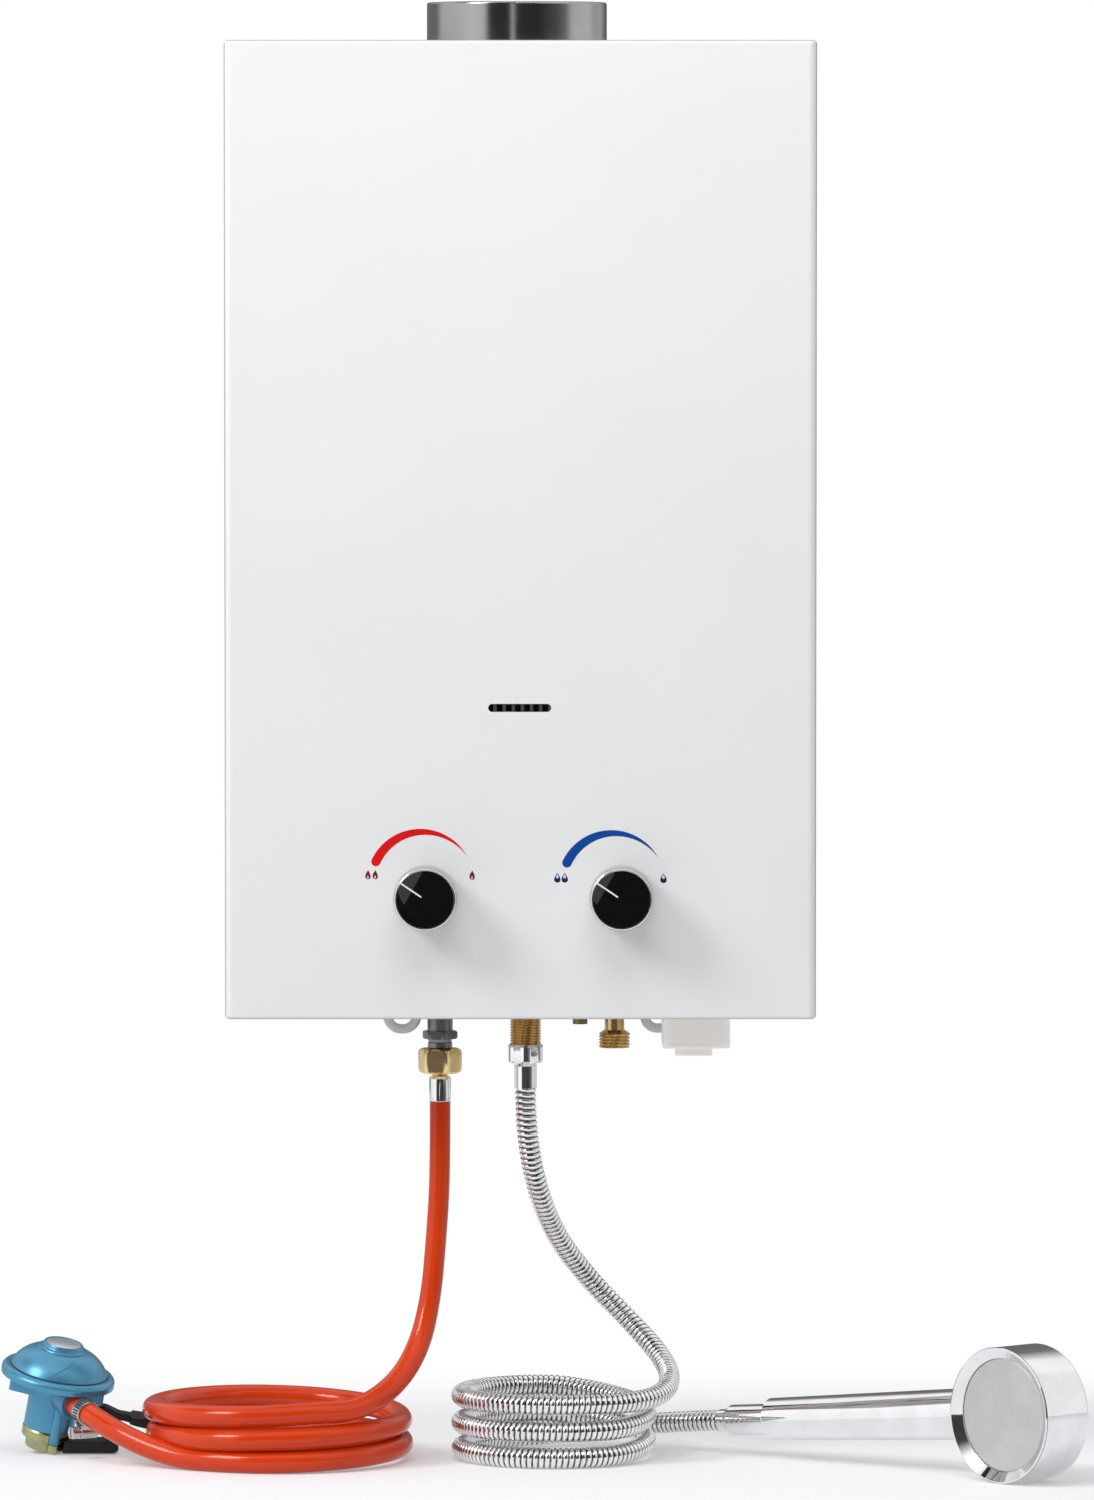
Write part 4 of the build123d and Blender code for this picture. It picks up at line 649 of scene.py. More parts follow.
def turned(
    name, origin, axis, profile, finish, sides=96, flats=(1, 0, 0, 0, 0), thread=(0, 0, 1, 0),
    **where,
):
    """A turned solid: (radius, height) points round an axis, in millimetres. Part of it may be
    milled to a hexagon, flats=(low, high, width across, corner angle, corner radius), or carry a
    thread, thread=(low, high, pitch, depth)."""
    upward = Vector(axis).normalized()
    guide = Vector((1, 0, 0)) if abs(upward.x) < 0.9 else Vector((0, 1, 0))
    right = (guide - upward * guide.dot(upward)).normalized()
    far = upward.cross(right)
    widest = max(radius for radius, height in profile)
    flat_low, flat_high, across, corner_at, corner_radius = flats
    thread_low, thread_high, pitch, thread_depth = thread
    rows = []
    for (radius, height), (next_radius, next_height) in zip(profile, profile[1:] + profile[:1]):
        rows.append((radius, height))
        threaded = thread_low < (height + next_height) / 2 < thread_high
        if not threaded or min(radius, next_radius) < widest - thread_depth:
            continue
        count = ceil(abs(next_height - height) / (pitch / 8))
        for share in [step / count for step in range(1, count)]:
            row_radius = radius + (next_radius - radius) * share
            rows.append((row_radius, height + (next_height - height) * share))
    form = bmesh.new()
    rings = []
    for radius, height in rows:
        ring = []
        for step in range(sides if radius > 0 else 1):
            angle = tau * step / sides + radians(corner_at)
            reach = radius
            if flat_low <= height <= flat_high:
                side = hexagon_side(angle - radians(corner_at), across / 2, corner_radius)
                reach = min(radius, side)
            if thread_low <= height <= thread_high and radius > widest - thread_depth:
                reach -= thread_depth * abs(2 * ((height / pitch + step / sides) % 1) - 1)
            place = Vector(origin) + upward * height
            ring.append(place + (right * (reach * cos(angle)) + far * (reach * sin(angle))))
        rings.append(placed(form, ring))
    if profile[0][0] > 0:
        rings.append(rings[0])
    for ring, following in zip(rings, rings[1:]):
        skin_between(form, ring, following)
    mesh = mesh_of(name, form, finish)
    mesh.shade_smooth()
    mesh.set_sharp_from_angle(angle=radians(32))
    fitted(name, mesh, **where)


def fitting(name, x, profile, finish, slot, **more):
    """A turned piece that stands upright under the casing."""
    turned(name, (x, fitting_y, 0), (0, 0, 1), profile, finish, slot=slot, **more)


plated_steel = metal(
    "grey_plated_steel", (0.17, 0.17, 0.175), (0.21, 0.21, 0.215), rough=(0.28, 0.36), depth=0.04,
)
polished_chrome = metal(
    "polished_chrome", (0.74, 0.74, 0.75), (0.82, 0.82, 0.83), ["shower_hose_ferrule"],
    rough=(0.04, 0.08), patch=60, relief=0.02, depth=0.02,
)
bright_brass = metal(
    "bright_brass", (0.8, 0.59, 0.28), (0.84, 0.63, 0.31), rough=(0.19, 0.23), relief=0.02,
    depth=0.02,
)
brass_tarnish_and_shade = metal(
    "tarnished_brass", (0.22, 0.18, 0.09), (0.32, 0.26, 0.13), ["drain_plug"], rough=(0.34, 0.44),
    depth=0.04,
)
dull_brass = metal(
    "dull_brass", (0.58, 0.38, 0.15), (0.63, 0.42, 0.18), ["gas_hose_tail"], rough=(0.2, 0.25),
    relief=0.02, depth=0.02,
)
inlet_top, hot_top, cold_top = [
    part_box(node)[1][2] / MM for node in ("gas_inlet", "hot_outlet", "cold_inlet")
]
fitting(
    "gas_inlet_hexagon", gas_x,
    [(0, inlet_top), (8.5, inlet_top), (8.5, -673.8), (11.0, -673.8), (12.0, -674.4),
     (12.0, -678.5), (11.0, -679.1), (8.0, -679.1), (7.7, -681.2), (8.2, -681.6), (8.2, -685.0),
     (7.8, -685.4), (0, -685.4)],
    plated_steel, "plated_grey", sides=120, flats=(-679.1, -673.8, 20.8, -12, 0.5),
    thread=(-685.0, -681.6, 1.5, 0.7), stands_for="gas_inlet",
)
fitting(
    "gas_union_hexagon", gas_x,
    [(5.3, -685.6), (12.3, -685.6), (14.0, -686.4), (15.0, -687.9), (15.0, -699.4), (14.0, -701.0),
     (12.2, -702.2), (5.3, -702.2)],
    bright_brass, "brass", sides=120, flats=(-702.2, -685.6, 26.0, -12, 0.6),
    stands_for="gas_union_nut",
)
fitting(
    "gas_ferrule_crimped", gas_x,
    [(3.2, -721.0), (6.9, -721.0), (7.3, -720.5), (7.3, -706.4), (7.0, -705.2), (6.3, -704.3),
     (5.2, -703.9), (3.2, -703.9)],
    polished_chrome, "shower_chrome", stands_for="gas_hose_ferrule",
)
# Painted shade: the ferrule's witness hole is a small sunk disc in dark brass, standing in for the
# shade on the hose tail seen through it.
turned(
    "gas_ferrule_witness_hole", (gas_x + 2.6, fitting_y - 6.82, -708.5), (0.356, -0.934, 0),
    [(0, -0.6), (0.85, -0.6), (0.85, 0.02), (0.75, 0.06), (0.45, -0.2), (0, -0.25)], brass_tarnish_and_shade,
    sides=20,
)
hot_nut = hot_top - 8.0
fitting(
    "hot_outlet_threaded", hot_x,
    [(7.0, -682.9), (9.5, -682.9), (9.5, hot_nut), (15.2, hot_nut), (16.1, hot_top - 7.4),
     (16.1, hot_top - 0.6), (15.2, hot_top), (7.0, hot_top)],
    dull_brass, "brass", sides=120, flats=(hot_nut, hot_top, 28.0, 0, 0.5), stands_for="hot_outlet",
)
fitting(
    "hot_outlet_thread", hot_x,
    [(9.4, -682.88), (10.05, -682.88), (10.5, -682.4), (10.5, -661.0), (10.05, -660.4),
     (9.4, -660.4)],
    dull_brass, "brass", thread=(-682.4, -661.0, 1.81, 0.9),
)
fitting(
    "shower_nut_hexagon", hot_x,
    [(5.0, -682.9), (10.9, -682.9), (12.9, -684.4), (12.9, -693.8), (11.2, -695.1), (5.0, -695.1)],
    polished_chrome, "shower_chrome", sides=180, flats=(-695.1, -682.9, 23.2, 30, 3.9),
    stands_for="shower_hose_nut",
)
fitting(
    "cold_inlet_threaded", cold_x,
    [(6.5, -685.0), (10.0, -685.0), (10.48, -684.5), (10.48, -675.8), (9.9, -675.2), (6.6, -673.0),
     (6.6, cold_top), (4.5, cold_top), (4.5, -676.0), (6.5, -679.0)],
    dull_brass, "brass", thread=(-684.5, -676.0, 2.2, 1.0), stands_for="cold_inlet",
)

# ---- knobs ----
# Each knob is a ribbed satin grip with a polished ring round a domed disc of black glass. A
# white bar inlaid in the disc points at the setting.
knob_height = -577.6
knob_satin = metal(
    "satin_knob_silver", (0.62, 0.62, 0.62), (0.72, 0.72, 0.72), rough=(0.3, 0.4), patch=100,
    grain=1600, relief=0.12, depth=0.04,
)
black_glass = surface(
    "black_knob_glass", (0.003, 0.003, 0.0035), (0.005, 0.005, 0.0055), rough=(0.02, 0.035),
    patch=200, grain=900, relief=0.01, depth=0.01,
)
pointer_white = surface(
    "white_pointer", (0.8, 0.8, 0.8), (0.88, 0.88, 0.88), rough=(0.3, 0.4), patch=300, grain=2000,
    relief=0.08,
)


def pointer_bar(name, middle_x, body):
    """A slim bar, round at its inner end."""
    angle = radians(146)
    along = Vector((cos(angle), 0, sin(angle)))
    aside = Vector((-sin(angle), 0, cos(angle)))
    half, inner, outer = 0.52, 3.4, 20.2
    outline = [polar((inner, 0), half, pi * (0.5 + step / 8)) for step in range(9)]
    outline += [(outer, -half), (outer, half)]
    layers = []
    for depth, inset in ((-203.9, 1.0), (-204.95, 1.0), (-205.1, 0.72)):
        middle = Vector((middle_x, depth, knob_height))
        layers.append([middle + along * reach + aside * (off * inset) for reach, off in outline])
    fitted(name, mesh_of(name, lofted(layers), pointer_white), body)


grip_radius, glass_radius, rib_count, rib_reach = 20.5, 18.75, 96, 15.2
rib_section = ((-0.42, -0.4), (-0.2, 0.36), (0.2, 0.36), (0.42, -0.4))
grip_profile = [
    (4.0, 170.5), (8.0, 170.5), (8.0, 200.0), (17.0, 200.0), (17.0, 170.5), (20.1, 170.5),
    (grip_radius, 171.0), (grip_radius, 201.6), (19.6, 202.2), (19.2, 203.0), (4.0, 203.0),
]
ring_profile = [
    (19.0, 202.6), (20.1, 202.2), (20.3, 202.6), (20.3, 203.9), (20.2, 204.4),
    (19.98, 204.75), (19.7, 204.95), (19.4, 205.0), (19.15, 204.9), (19.0, 204.6),
]
glass_profile = [
    (glass_radius * step / 16, 204.1 + 0.6 * (1 - (step / 16) ** 2)) for step in range(17)
]
glass_profile += [(glass_radius, 203.0), (0, 203.0)]
for label, middle_x in (("gas", -62.5), ("water", 66.5)):
    body, knob = f"{label}_knob_body", f"{label}_knob"
    outward_axis = ((middle_x, 0, knob_height), (0, -1, 0))
    grip = {"body": body, "slot": "knob_chrome", "stands_for": knob}
    turned(f"{knob}_grip", *outward_axis, grip_profile, knob_satin, **grip)
    turned(f"{knob}_ring", *outward_axis, ring_profile, polished_chrome, sides=128, **grip)
    rib = lofted([[(x, y, z) for y, z in rib_section] for x in (-rib_reach, rib_reach)])
    rib_places = []
    for number in range(rib_count):
        x, z = polar((0, 0), 1, tau * number / rib_count)
        point = (middle_x + grip_radius * x, -186.6, knob_height + grip_radius * z)
        rib_places.append((point, (x, 0, z), (0, 1, 0)))
    set_out(f"{knob}_ribs", rib_places, rib, knob_satin, **grip)
    turned(
        f"{knob}_disc", *outward_axis, glass_profile, black_glass, sides=128, body=body,
        slot="knob_glass", stands_for=f"{knob}_glass",
    )
    pointer_bar(f"{knob}_pointer", middle_x, body)

# ---- battery case and leads ----
# Milky moulded case for two cells in series, which hangs through the foot plate; its lid swings
# down. A grey lead runs up from it, and another loops under the casing to the burner's sensor.
case_middle = 0.1166
# Painted light: the case glows faintly, standing in for light that shines through its milky wall.
milky_case = surface(
    "milky_case_plastic", (0.86, 0.81, 0.76), (0.9, 0.86, 0.81), ["battery_case", "battery_lid"],
    rough=(0.26, 0.34), patch=30, grain=1200, relief=0.06, depth=0.05,
    more={"Subsurface Weight": 0.5, "Subsurface Radius": (1.0, 0.9, 0.8),
          "Subsurface Scale": 0.004, "Emission Color": (1.0, 0.95, 0.9, 1),
          "Emission Strength": 0.14},
)
# Its tint grows paler towards its two sides.
milky = milky_case.node_tree
off_middle = calc(milky, "SUBTRACT", own_axes(milky)["X"], case_middle)
off_middle = calc(milky, "ABSOLUTE", off_middle)
to_edge = spread_to(milky, off_middle, 0, 1, 0.015, 0.0185, smooth=True)
tint_over(milky_case, to_edge, over=(0.95, 0.93, 0.9))
surface(
    "dark_cell_wrap", (0.07, 0.07, 0.085), (0.12, 0.12, 0.14), ["battery_cells"], rough=(0.22, 0.3),
    patch=60, relief=0.06,
)
metal(
    "nickel_spring_steel", (0.66, 0.64, 0.6), (0.78, 0.76, 0.72),
    ["battery_contacts", "lid_contact"], rough=(0.2, 0.3), patch=150, grain=1800, relief=0.08,
    depth=0.03,
)
surface(
    "grey_lead_sleeve", (0.62, 0.62, 0.63), (0.68, 0.68, 0.69), ["battery_lead", "sensor_lead"],
    rough=(0.4, 0.5), patch=70, grain=1300, relief=0.15,
)

# ---- gas regulator ----
# Die-cast and pressed shell in metallic blue lacquer, with a silver disc in its cap, a
# yellow-passivated coupling ring for the bottle valve, and a moulded lever that locks it.
rim_middle = (-311.26, -40.68, -906.8)
up_axis = (0.18086, -0.1826, 0.96641)
blue_lacquer = surface(
    "blue_metallic_lacquer", (0.075, 0.285, 0.45), (0.09, 0.315, 0.49), ["regulator_dome"],
    metallic=0.5, rough=(0.31, 0.35), patch=40, grain=2600, relief=0.14, depth=0.04,
)
# Painted shade: a dark ring laid where the dome meets its rim bead, standing in for the shade in
# the groove there.
groove_shade = surface(
    "dark_lacquer_in_grooves", (0.006, 0.028, 0.05), (0.01, 0.042, 0.07), patch=200, grain=600,
)
turned(
    "dome_rim_groove", rim_middle, up_axis,
    [(32.3, 1.4), (33.25, 1.4), (33.25, 2.35), (32.75, 2.9), (32.3, 2.9)], groove_shade,
    slot="regulator_blue",
)


def softened(node, name, body, finish, voxel, passes, slot):
    """A moulded or cast piece: the solid it stands for, with its edges rounded over."""
    source = linked(name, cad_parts[node].data.copy())
    weld = source.modifiers.new("joined", "WELD")
    weld.merge_threshold = 0.00001
    skin = source.modifiers.new("skin", "REMESH")
    skin.mode = "VOXEL"
    skin.voxel_size = voxel * MM
    rounding = source.modifiers.new("rounding", "SMOOTH")
    rounding.factor = 0.5
    rounding.iterations = passes
    mesh = worked_out(source)
    mesh.shade_smooth()
    mesh.materials.clear()
    mesh.materials.append(finish)
    fitted(name, mesh, body, slot, node)


softened("regulator_body", "regulator_casting", "casing", blue_lacquer, 0.4, 2, "regulator_blue")
turned(
    "regulator_cap_ring", rim_middle, up_axis,
    [(0, 15.9), (16.4, 15.9), (16.6, 16.9), (16.1, 17.6), (15.0, 17.9), (13.9, 18.2), (13.5, 18.8),
     (13.3, 20.4), (12.9, 20.9), (12.3, 20.9), (11.9, 20.5), (11.9, 20.0), (0, 20.0)],
    blue_lacquer, slot="regulator_blue", stands_for="regulator_cap",
)
arc_middle, arc_radius = (10.403, -7.512), 24.702
dome_axis = Vector(up_axis).normalized()
dome_right = (Vector((1, 0, 0)) - dome_axis * dome_axis.x).normalized()
dome_far = dome_axis.cross(dome_right)


def on_dome(share, degrees, lift):
    """A point over the dome: its share of the way from cap to rim, its angle and lift."""
    first = atan2(16.4 - arc_middle[1], 16.6 - arc_middle[0])
    last = atan2(2.0 - arc_middle[1], 33.2 - arc_middle[0])
    reach, height = polar(arc_middle, arc_radius + lift, first + (last - first) * share)
    turned_by = radians(degrees)
    outward = dome_right * cos(turned_by) + dome_far * sin(turned_by)
    return Vector(rim_middle) + outward * reach + dome_axis * height


def dome_crease(name, start, end):
    """A fine raised fold between two points of the pressed dome."""
    rings, steps = [], 18
    for step in range(steps + 1):
        share, degrees = [a + (b - a) * step / steps for a, b in zip(start, end)]
        fade = sin(pi * (0.04 + 0.92 * step / steps)) ** 0.5
        section = ((-1.3, -0.15), (-0.5, 0.26 * fade), (0.1, 0.52 * fade), (0.5, -0.15))
        rings.append([on_dome(share, degrees + aside * 1.6, lift) for aside, lift in section])
    mesh = mesh_of(name, lofted(rings), blue_lacquer)
    mesh.shade_smooth()
    fitted(name, mesh, slot="regulator_blue")


dome_crease("dome_crease_left", (0.18, -63), (0.87, -101))
dome_crease("dome_crease_right", (0.52, -16), (0.82, -36))
vent_place = on_dome(0.04, -49, 0)
vent_axis = on_dome(0.04, -49, 1) - vent_place
# Painted shade: the vent's sunk floor takes the dark collar finish, standing in for the shade
# inside the hole.
turned(
    "dome_vent", vent_place, vent_axis,
    [(0, -1.0), (1.5, -1.0), (1.5, 0.12), (1.25, 0.25), (0.95, 0.1), (0.9, -0.5), (0, -0.5)],
    collar_black, sides=24,
)
surface(
    "black_diaphragm_rubber", (0.03, 0.03, 0.03), (0.05, 0.05, 0.05), ["regulator_diaphragm"],
    patch=100, grain=600, relief=0.2,
)
disc_silver = surface(
    "brushed_cap_disc", (0.7, 0.7, 0.74), (0.82, 0.8, 0.83), metallic=0.8, rough=(0.28, 0.36),
    patch=150, grain=1800, depth=0.03, stretch=(1, 10, 1),
)
turned(
    "regulator_cap_disc", rim_middle, up_axis,
    [(0, 19.9), (11.75, 19.9), (11.75, 20.3), (11.4, 20.45), (0, 20.45)], disc_silver,
    slot="shower_chrome",
)
metal(
    "yellow_passivated_zinc", (0.29, 0.28, 0.13), (0.42, 0.43, 0.23), ["regulator_coupling"],
    rough=(0.22, 0.34), patch=110, grain=1400, relief=0.12, depth=0.05,
)
lever_black = surface(
    "black_lever_plastic", (0.01, 0.01, 0.011), (0.018, 0.018, 0.02), rough=(0.3, 0.42), patch=90,
    grain=600, relief=0.15, more={"Specular IOR Level": 0.25},
)
lever_body = "regulator_lever_body"
softened("regulator_lever", "lever_moulding", lever_body, lever_black, 0.5, 8, "lever_plastic")

# ---- hose clamp ----
# Stainless worm-drive clamp: a punched band round the hose's end and a housing for its screw.
outlet_direction = Vector((0.49175, -0.83418, -0.24965))
clamp_steel = metal(
    "stainless_clamp_band", (0.48, 0.48, 0.48), (0.58, 0.58, 0.58), ["clamp_screw"],
    rough=(0.22, 0.3), grain=1600, relief=0.08, depth=0.03,
)
slot_shade = surface(
    "dark_band_slot", (0.03, 0.028, 0.028), (0.05, 0.045, 0.045), patch=300, grain=600,
)
band_middle = Vector(rim_middle) - Vector(up_axis) * 12.5 + outlet_direction * 45.0
band_radius, slot_count = 8.45, 26
clamp_across = Vector((0.8613, 0.5081, 0))
clamp_up = outlet_direction.cross(clamp_across)
clamp_part = {"slot": "clamp_steel", "stands_for": "hose_clamp"}
turned(
    "clamp_band", band_middle, outlet_direction,
    [(7.36, -4.5), (8.3, -4.5), (band_radius, -4.35), (band_radius, 4.35), (8.3, 4.5), (7.36, 4.5)],
    clamp_steel, sides=128, **clamp_part,
)
turned(
    "clamp_housing", band_middle - clamp_up * 14.2, clamp_across,
    [(2.65, -3.6), (4.1, -3.6), (4.4, -3.3), (4.4, 9.1), (4.1, 9.4), (2.65, 9.4)], clamp_steel,
    sides=64, **clamp_part,
)
saddle_sizes = ((-7.9, -5.2, 6.2, 4.3), (-9.2, -4.6, 7.2, 4.2), (-11.4, -3.4, 9.2, 3.6))
saddle_rings = []
for drop, low, high, half in saddle_sizes:
    middle = band_middle + clamp_up * drop
    corners = ((low, -half), (high, -half), (high, half), (low, half))
    saddle_rings.append([middle + clamp_across * x + outlet_direction * y for x, y in corners])
saddle = lofted(saddle_rings)
bmesh.ops.bevel(saddle, geom=saddle.edges[:], offset=0.3 * MM, segments=2, affect="EDGES")
fitted("clamp_saddle", mesh_of("clamp_saddle", saddle, clamp_steel), slot="clamp_steel")
# Painted shade: the band's punched slots are dark plates laid on it, standing in for the shade in
# the holes.
slot_corners = ((-3.1, -0.95), (3.1, -0.2), (3.1, 0.95), (-3.1, 0.2))
band_slot = lofted([[(x, y, height) for x, y in slot_corners] for height in (-0.4, 0.12)])
slot_places = []
for number in range(slot_count):
    across, up = polar((0, 0), 1, tau * number / slot_count)
    outward = clamp_across * across + clamp_up * up
    slot_places.append((band_middle + outward * band_radius, outward, outlet_direction))
set_out("clamp_band_slots", slot_places, band_slot, slot_shade, slot="clamp_steel")

# ---- gas hose ----
# Orange extruded rubber hose between the gas union and the regulator. It hangs from its crimped
# ferrule, lies in two loose turns on the table and goes on to the regulator's outlet.


def hose_line(name, points, thickness):
    """One smooth open line through a hose's route, given in millimetres."""
    line = bpy.data.curves.new(name, "CURVE")
    line.dimensions = "3D"
    spline = line.splines.new("NURBS")
    spline.points.add(len(points) - 1)
    for point, (x, y, z) in zip(spline.points, points):
        point.co = (x * MM, y * MM, z * MM, 1)
        point.radius = thickness(z)
    spline.order_u = 3
    spline.use_endpoint_u = True
    spline.resolution_u = 12
    return linked(name, line)


def on_turn(middle, radius, degrees, height):
    """A point of a turn that lies on the table, at a height above it."""
    return *polar(middle, radius, radians(degrees)), floor_height / MM + height


gas_route = [
    (-54, -75, -721), (-54, -75, -748), (-54.6, -75.8, -783), (-57, -77.5, -817),
    (-60, -80.5, -851), (-67.5, -91.5, -884), (-83, -111.5, -908),
]
gas_coil_middle, gas_coil_radius = (-160.5, -75.0), 80.5
first_turn, turn_step, top_turn, turn_drop, on_table = -50, 22.5, 38.4, 15.4, 7.6
most_spread, most_rise = 7.0, 3.0
for number in range(36):
    degrees = first_turn - turn_step * number
    to_back, to_left = sin(radians(degrees)), -cos(radians(degrees))
    height = 40 if number < 2 else top_turn - turn_drop * (-90 - degrees) / 360
    upper = max(0.0, min(1.0, (height - 15.0) / 16.0))
    spread = 1.5 * sin(radians(0.47 * degrees)) + most_spread * upper * max(0.0, to_left)
    rise = most_rise * upper * max(0.0, to_back)
    reach = gas_coil_radius / cos(radians(turn_step / 2)) + spread
    gas_route.append(on_turn(gas_coil_middle, reach, degrees, max(height, on_table) + rise))
gas_route += [
    (-225.5, -130.5, -954.7), (-250, -116, -948.5),
    (-281.05, -93.5, -935.4), (-298.8, -63.4, -926.4),
]
coil_start = -870
gas_hose = hose_line("gas_hose", gas_route, lambda z: 0.955 if z > coil_start else 1.04)
gas_hose.data.bevel_depth = 0.0073
gas_hose.data.bevel_resolution = 9
orange_rubber = surface(
    "orange_rubber", (0.65, 0.042, 0.003), (0.74, 0.057, 0.005), rough=(0.1, 0.15), patch=18,
    grain=900, relief=0.12, depth=0.2, more={"Specular IOR Level": 0.32},
)
gas_hose.data.materials.append(orange_rubber)
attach(gas_hose, "casing")
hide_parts("gas_hose_drop", "gas_hose_coil", "gas_hose_run")

# ---- hand shower ----
# Chrome-plated moulded drum and handle in one, a sloped bezel round the satin grey spray plate
# with its rubber nozzles, and a swivel cone nut on the handle's end.
dress(polished_chrome, "shower_body", "shower_bezel", "shower_cone_nut")
surface(
    "satin_spray_plate", (0.54, 0.54, 0.545), (0.6, 0.6, 0.605), ["shower_face_plate"],
    metallic=0.35, rough=(0.3, 0.38), patch=50, grain=900, relief=0.08,
)
nozzle_rubber = surface(
    "grey_nozzle_rubber", (0.5, 0.5, 0.505), (0.55, 0.55, 0.555), rough=(0.34, 0.42), patch=200,
    relief=0.15,
)
head_middle = Vector((329, -197, -917))
face_direction = Vector((-0.7373, -0.6756, 0)).normalized()
face_right = Vector((0.6756, -0.7373, 0)).normalized()
face_up = Vector((0, 0, 1))
plate_height = 15.4
nozzle_profile = ((0.6, -0.5), (0.6, 0.03), (0.5, 0.08), (0.42, 0.1), (0.3, 0.1), (0.22, 0.02))
nozzle = lofted([ring_at(radius, height, 10) for radius, height in nozzle_profile])
nozzle_places = []
for reach, count in ((7.5, 6), (14.0, 12), (20.5, 18), (27.0, 24), (33.0, 30)):
    for number in range(count):
        across, up = polar((0, 0), 1, tau * number / count)
        aside = face_right * across + face_up * up
        point = head_middle + face_direction * plate_height + aside * reach
        nozzle_places.append((point, face_direction, aside))
set_out("spray_nozzles", nozzle_places, nozzle, nozzle_rubber, slot="spray_plate")

# Painted shade: thin dark rings where the bezel is pressed on the drum and round the spray plate,
# standing in for the shade in these gaps.
seam_shade = surface(
    "dark_seam", (0.02, 0.02, 0.02), (0.035, 0.035, 0.035), patch=200, grain=600,
)


def seam(name, node):
    """A thin ring of painted shade on the outermost edge of a round piece."""
    reaches = []
    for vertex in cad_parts[node].data.vertices:
        offset = vertex.co / MM - head_middle
        height = offset.dot(face_direction)
        reaches.append(((offset - face_direction * height).length, height))
    reach = max(reaches)[0]
    top = max(height for far, height in reaches if far > reach - 0.15)
    inner, outer, low, high = reach - 0.3, reach + 0.08, top - 0.35, top + 0.05
    section = [(inner, low), (outer, low), (outer, high), (inner, high)]
    ring = {"sides": 128, "slot": "shower_chrome"}
    turned(name, head_middle, face_direction, section, seam_shade, **ring)


seam("bezel_seam", "shower_bezel")
seam("plate_seam", "shower_face_plate")

# ---- shower hose ----
# Chrome-plated brass strip wound into a hose, each turn of the strip locked over the next. It
# hangs from the hot outlet, lies in a neat coil and runs on to the hand shower's swivel nut.
shower_route = [
    (3.2, -75, -712), (3.2, -75, -741), (10.9, -61.2, -782.4), (24.1, -33.8, -817),
    (46.7, -9, -848.4), (73.7, -9.6, -875.8), (94.9, -29.8, -897),
    (101.7, -59.4, -910.9), (92.5, -90.1, -918.2), (69, -113, -920),
]
shower_coil_middle, shower_coil_radius, corner_share = (22.0, -66.0), 61.7, 11.3
coil_start, coil_end, shower_steps = -66.8, -950, 39
top_layer, middle_layer, on_table = 42.5, 24.5, 7.0
for number in range(shower_steps + 1):
    degrees = coil_start + (coil_end - coil_start) * number / shower_steps
    if degrees > -270:
        height = top_layer
    elif degrees > -400:
        height = top_layer + (top_layer - middle_layer) * (degrees + 270) / 130
    elif degrees > -630:
        height = middle_layer
    elif degrees > -760:
        height = middle_layer + (middle_layer - on_table) * (degrees + 630) / 130
    else:
        height = on_table
    reach = shower_coil_radius / cos(radians(corner_share))
    shower_route.append(on_turn(shower_coil_middle, reach, degrees, height))
shower_route += [
    (6, -6, -954), (33, -1, -952), (61, -2, -949),
    (87, -11, -945), (114, -29.9, -941.4), (135.0, -45.1, -939.1),
]
shower_line = hose_line("shower_line", shower_route, lambda z: 1.0)
shower_line.data.splines[0].resolution_u = 16
bpy.context.view_layer.update()
plain_line = bpy.data.meshes.new_from_object(shower_line)
bpy.data.meshes.remove(plain_line)

spiral_chrome = metal(
    "spiral_chrome", (0.76, 0.76, 0.77), (0.86, 0.86, 0.87), rough=(0.1, 0.16), patch=60,
    relief=0.02, depth=0.02,
)
# Painted shade: the strip's tint goes nearly black in the grooves between its turns, where shade
# falls.
strip = spiral_chrome.node_tree
crest = add(strip, "Attribute", attribute_name="crest")["Fac"]
tint_over(spiral_chrome, spread_to(strip, crest, 0, 1, 0.25, 0.86), under=(0.03, 0.03, 0.033))
winding_inputs = [
    ("Radius", "Float", 0.007), ("Pitch", "Float", 0.0037), ("Groove", "Float", 0.0013),
    ("Sample Length", "Float", 0.0006), ("Sides", "Int", 28), ("Finish", "Material"),
]
winding, given, winding_keys = new_tree("strip_wound_hose", winding_inputs)


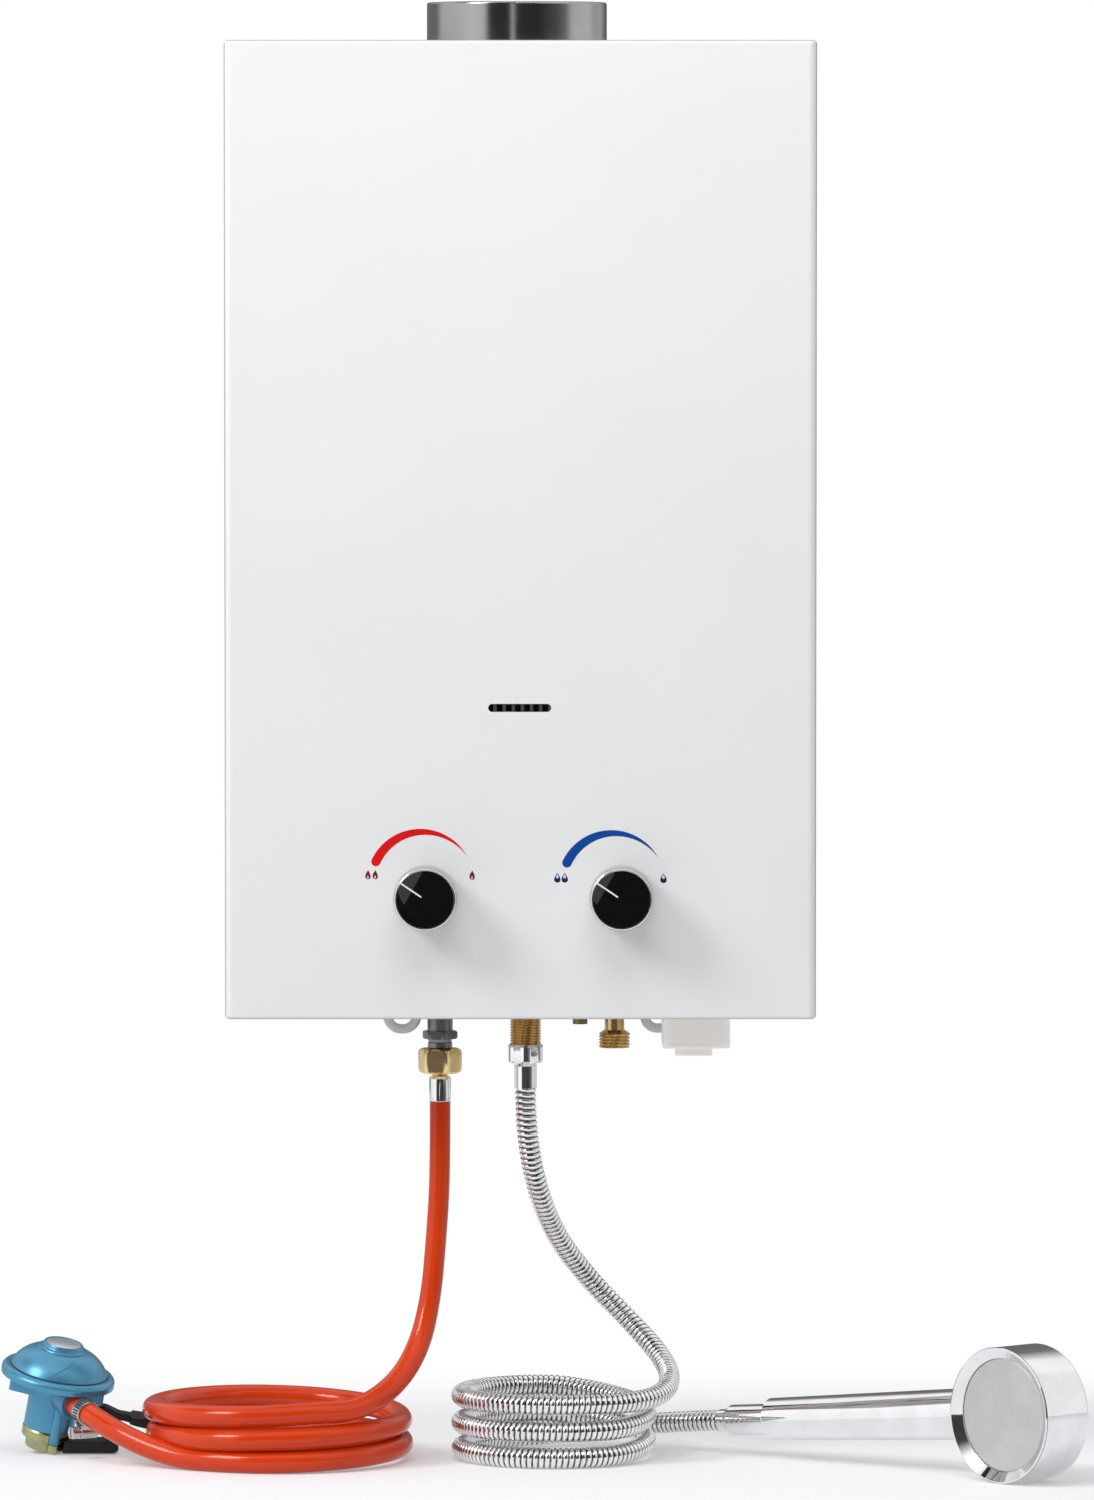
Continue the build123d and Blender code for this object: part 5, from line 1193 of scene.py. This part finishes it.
def kept_along(curve, label, measure):
    """A curve that keeps a measure of its spline; gives both."""
    node = winding.nodes.new("GeometryNodeCaptureAttribute")
    node.capture_items.new("FLOAT", label)
    kept = add(winding, "GeometryNodeSplineParameter")[measure]
    feed(winding, node, {"Geometry": curve, label: kept})
    return node.outputs["Geometry"], node.outputs[label]


sampled = add(
    winding, "GeometryNodeResampleCurve",
    {"Curve": given["Geometry"], "Length": given["Sample Length"]}, mode="LENGTH",
)
path, length = kept_along(sampled["Curve"], "Length", "Length")
circle = {"Resolution": given["Sides"], "Radius": given["Radius"]}
ring = add(winding, "GeometryNodeCurvePrimitiveCircle", circle)["Curve"]
section, share_round = kept_along(ring, "Turn", "Factor")
swept = {"Fill Caps": True, "Curve": path, "Profile Curve": section}
tube = add(winding, "GeometryNodeCurveToMesh", swept)["Mesh"]
turns = calc(winding, "DIVIDE", length, given["Pitch"])
phase = calc(winding, "FRACT", calc(winding, "ADD", turns, share_round))
level = add(winding, "FloatCurve", {"Value": phase})["Value"]
section_curve = level.node.mapping
curve = section_curve.curves[0]
for point in ((0.1, 0.75), (0.22, 1.0), (0.6, 1.0), (0.78, 0.72), (0.88, 0.1)):
    curve.points.new(*point)
curve.points[0].location = (0, 0.05)
curve.points[-1].location = (1, 0.05)
section_curve.update()
sunk = calc(winding, "SUBTRACT", level, 1.0)
sunk = calc(winding, "MULTIPLY", sunk, given["Groove"])
outward = add(winding, "GeometryNodeInputNormal")["Normal"]
shift = add(winding, "VectorMath", {0: outward, "Scale": sunk}, operation="SCALE")
# The section's level is kept on each point as crest, for the painted shade of the grooves.
marked = add(
    winding, "GeometryNodeStoreNamedAttribute", {"Name": "crest", "Geometry": tube, "Value": level},
    data_type="FLOAT", domain="POINT",
)
pushed = {"Geometry": marked["Geometry"], "Offset": shift["Vector"]}
moved = add(winding, "GeometryNodeSetPosition", pushed)["Geometry"]
smooth = add(winding, "GeometryNodeSetShadeSmooth", {"Geometry": moved})["Geometry"]
end_tree(winding, smooth, given["Finish"])
chosen = {"Finish": spiral_chrome, "Radius": 0.007}
shower_hose = patterned(
    "shower_hose", shower_line, winding, winding_keys, chosen, slot="spiral_chrome",
)
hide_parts("shower_hose_drop", "shower_hose_coil", "shower_hose_run")
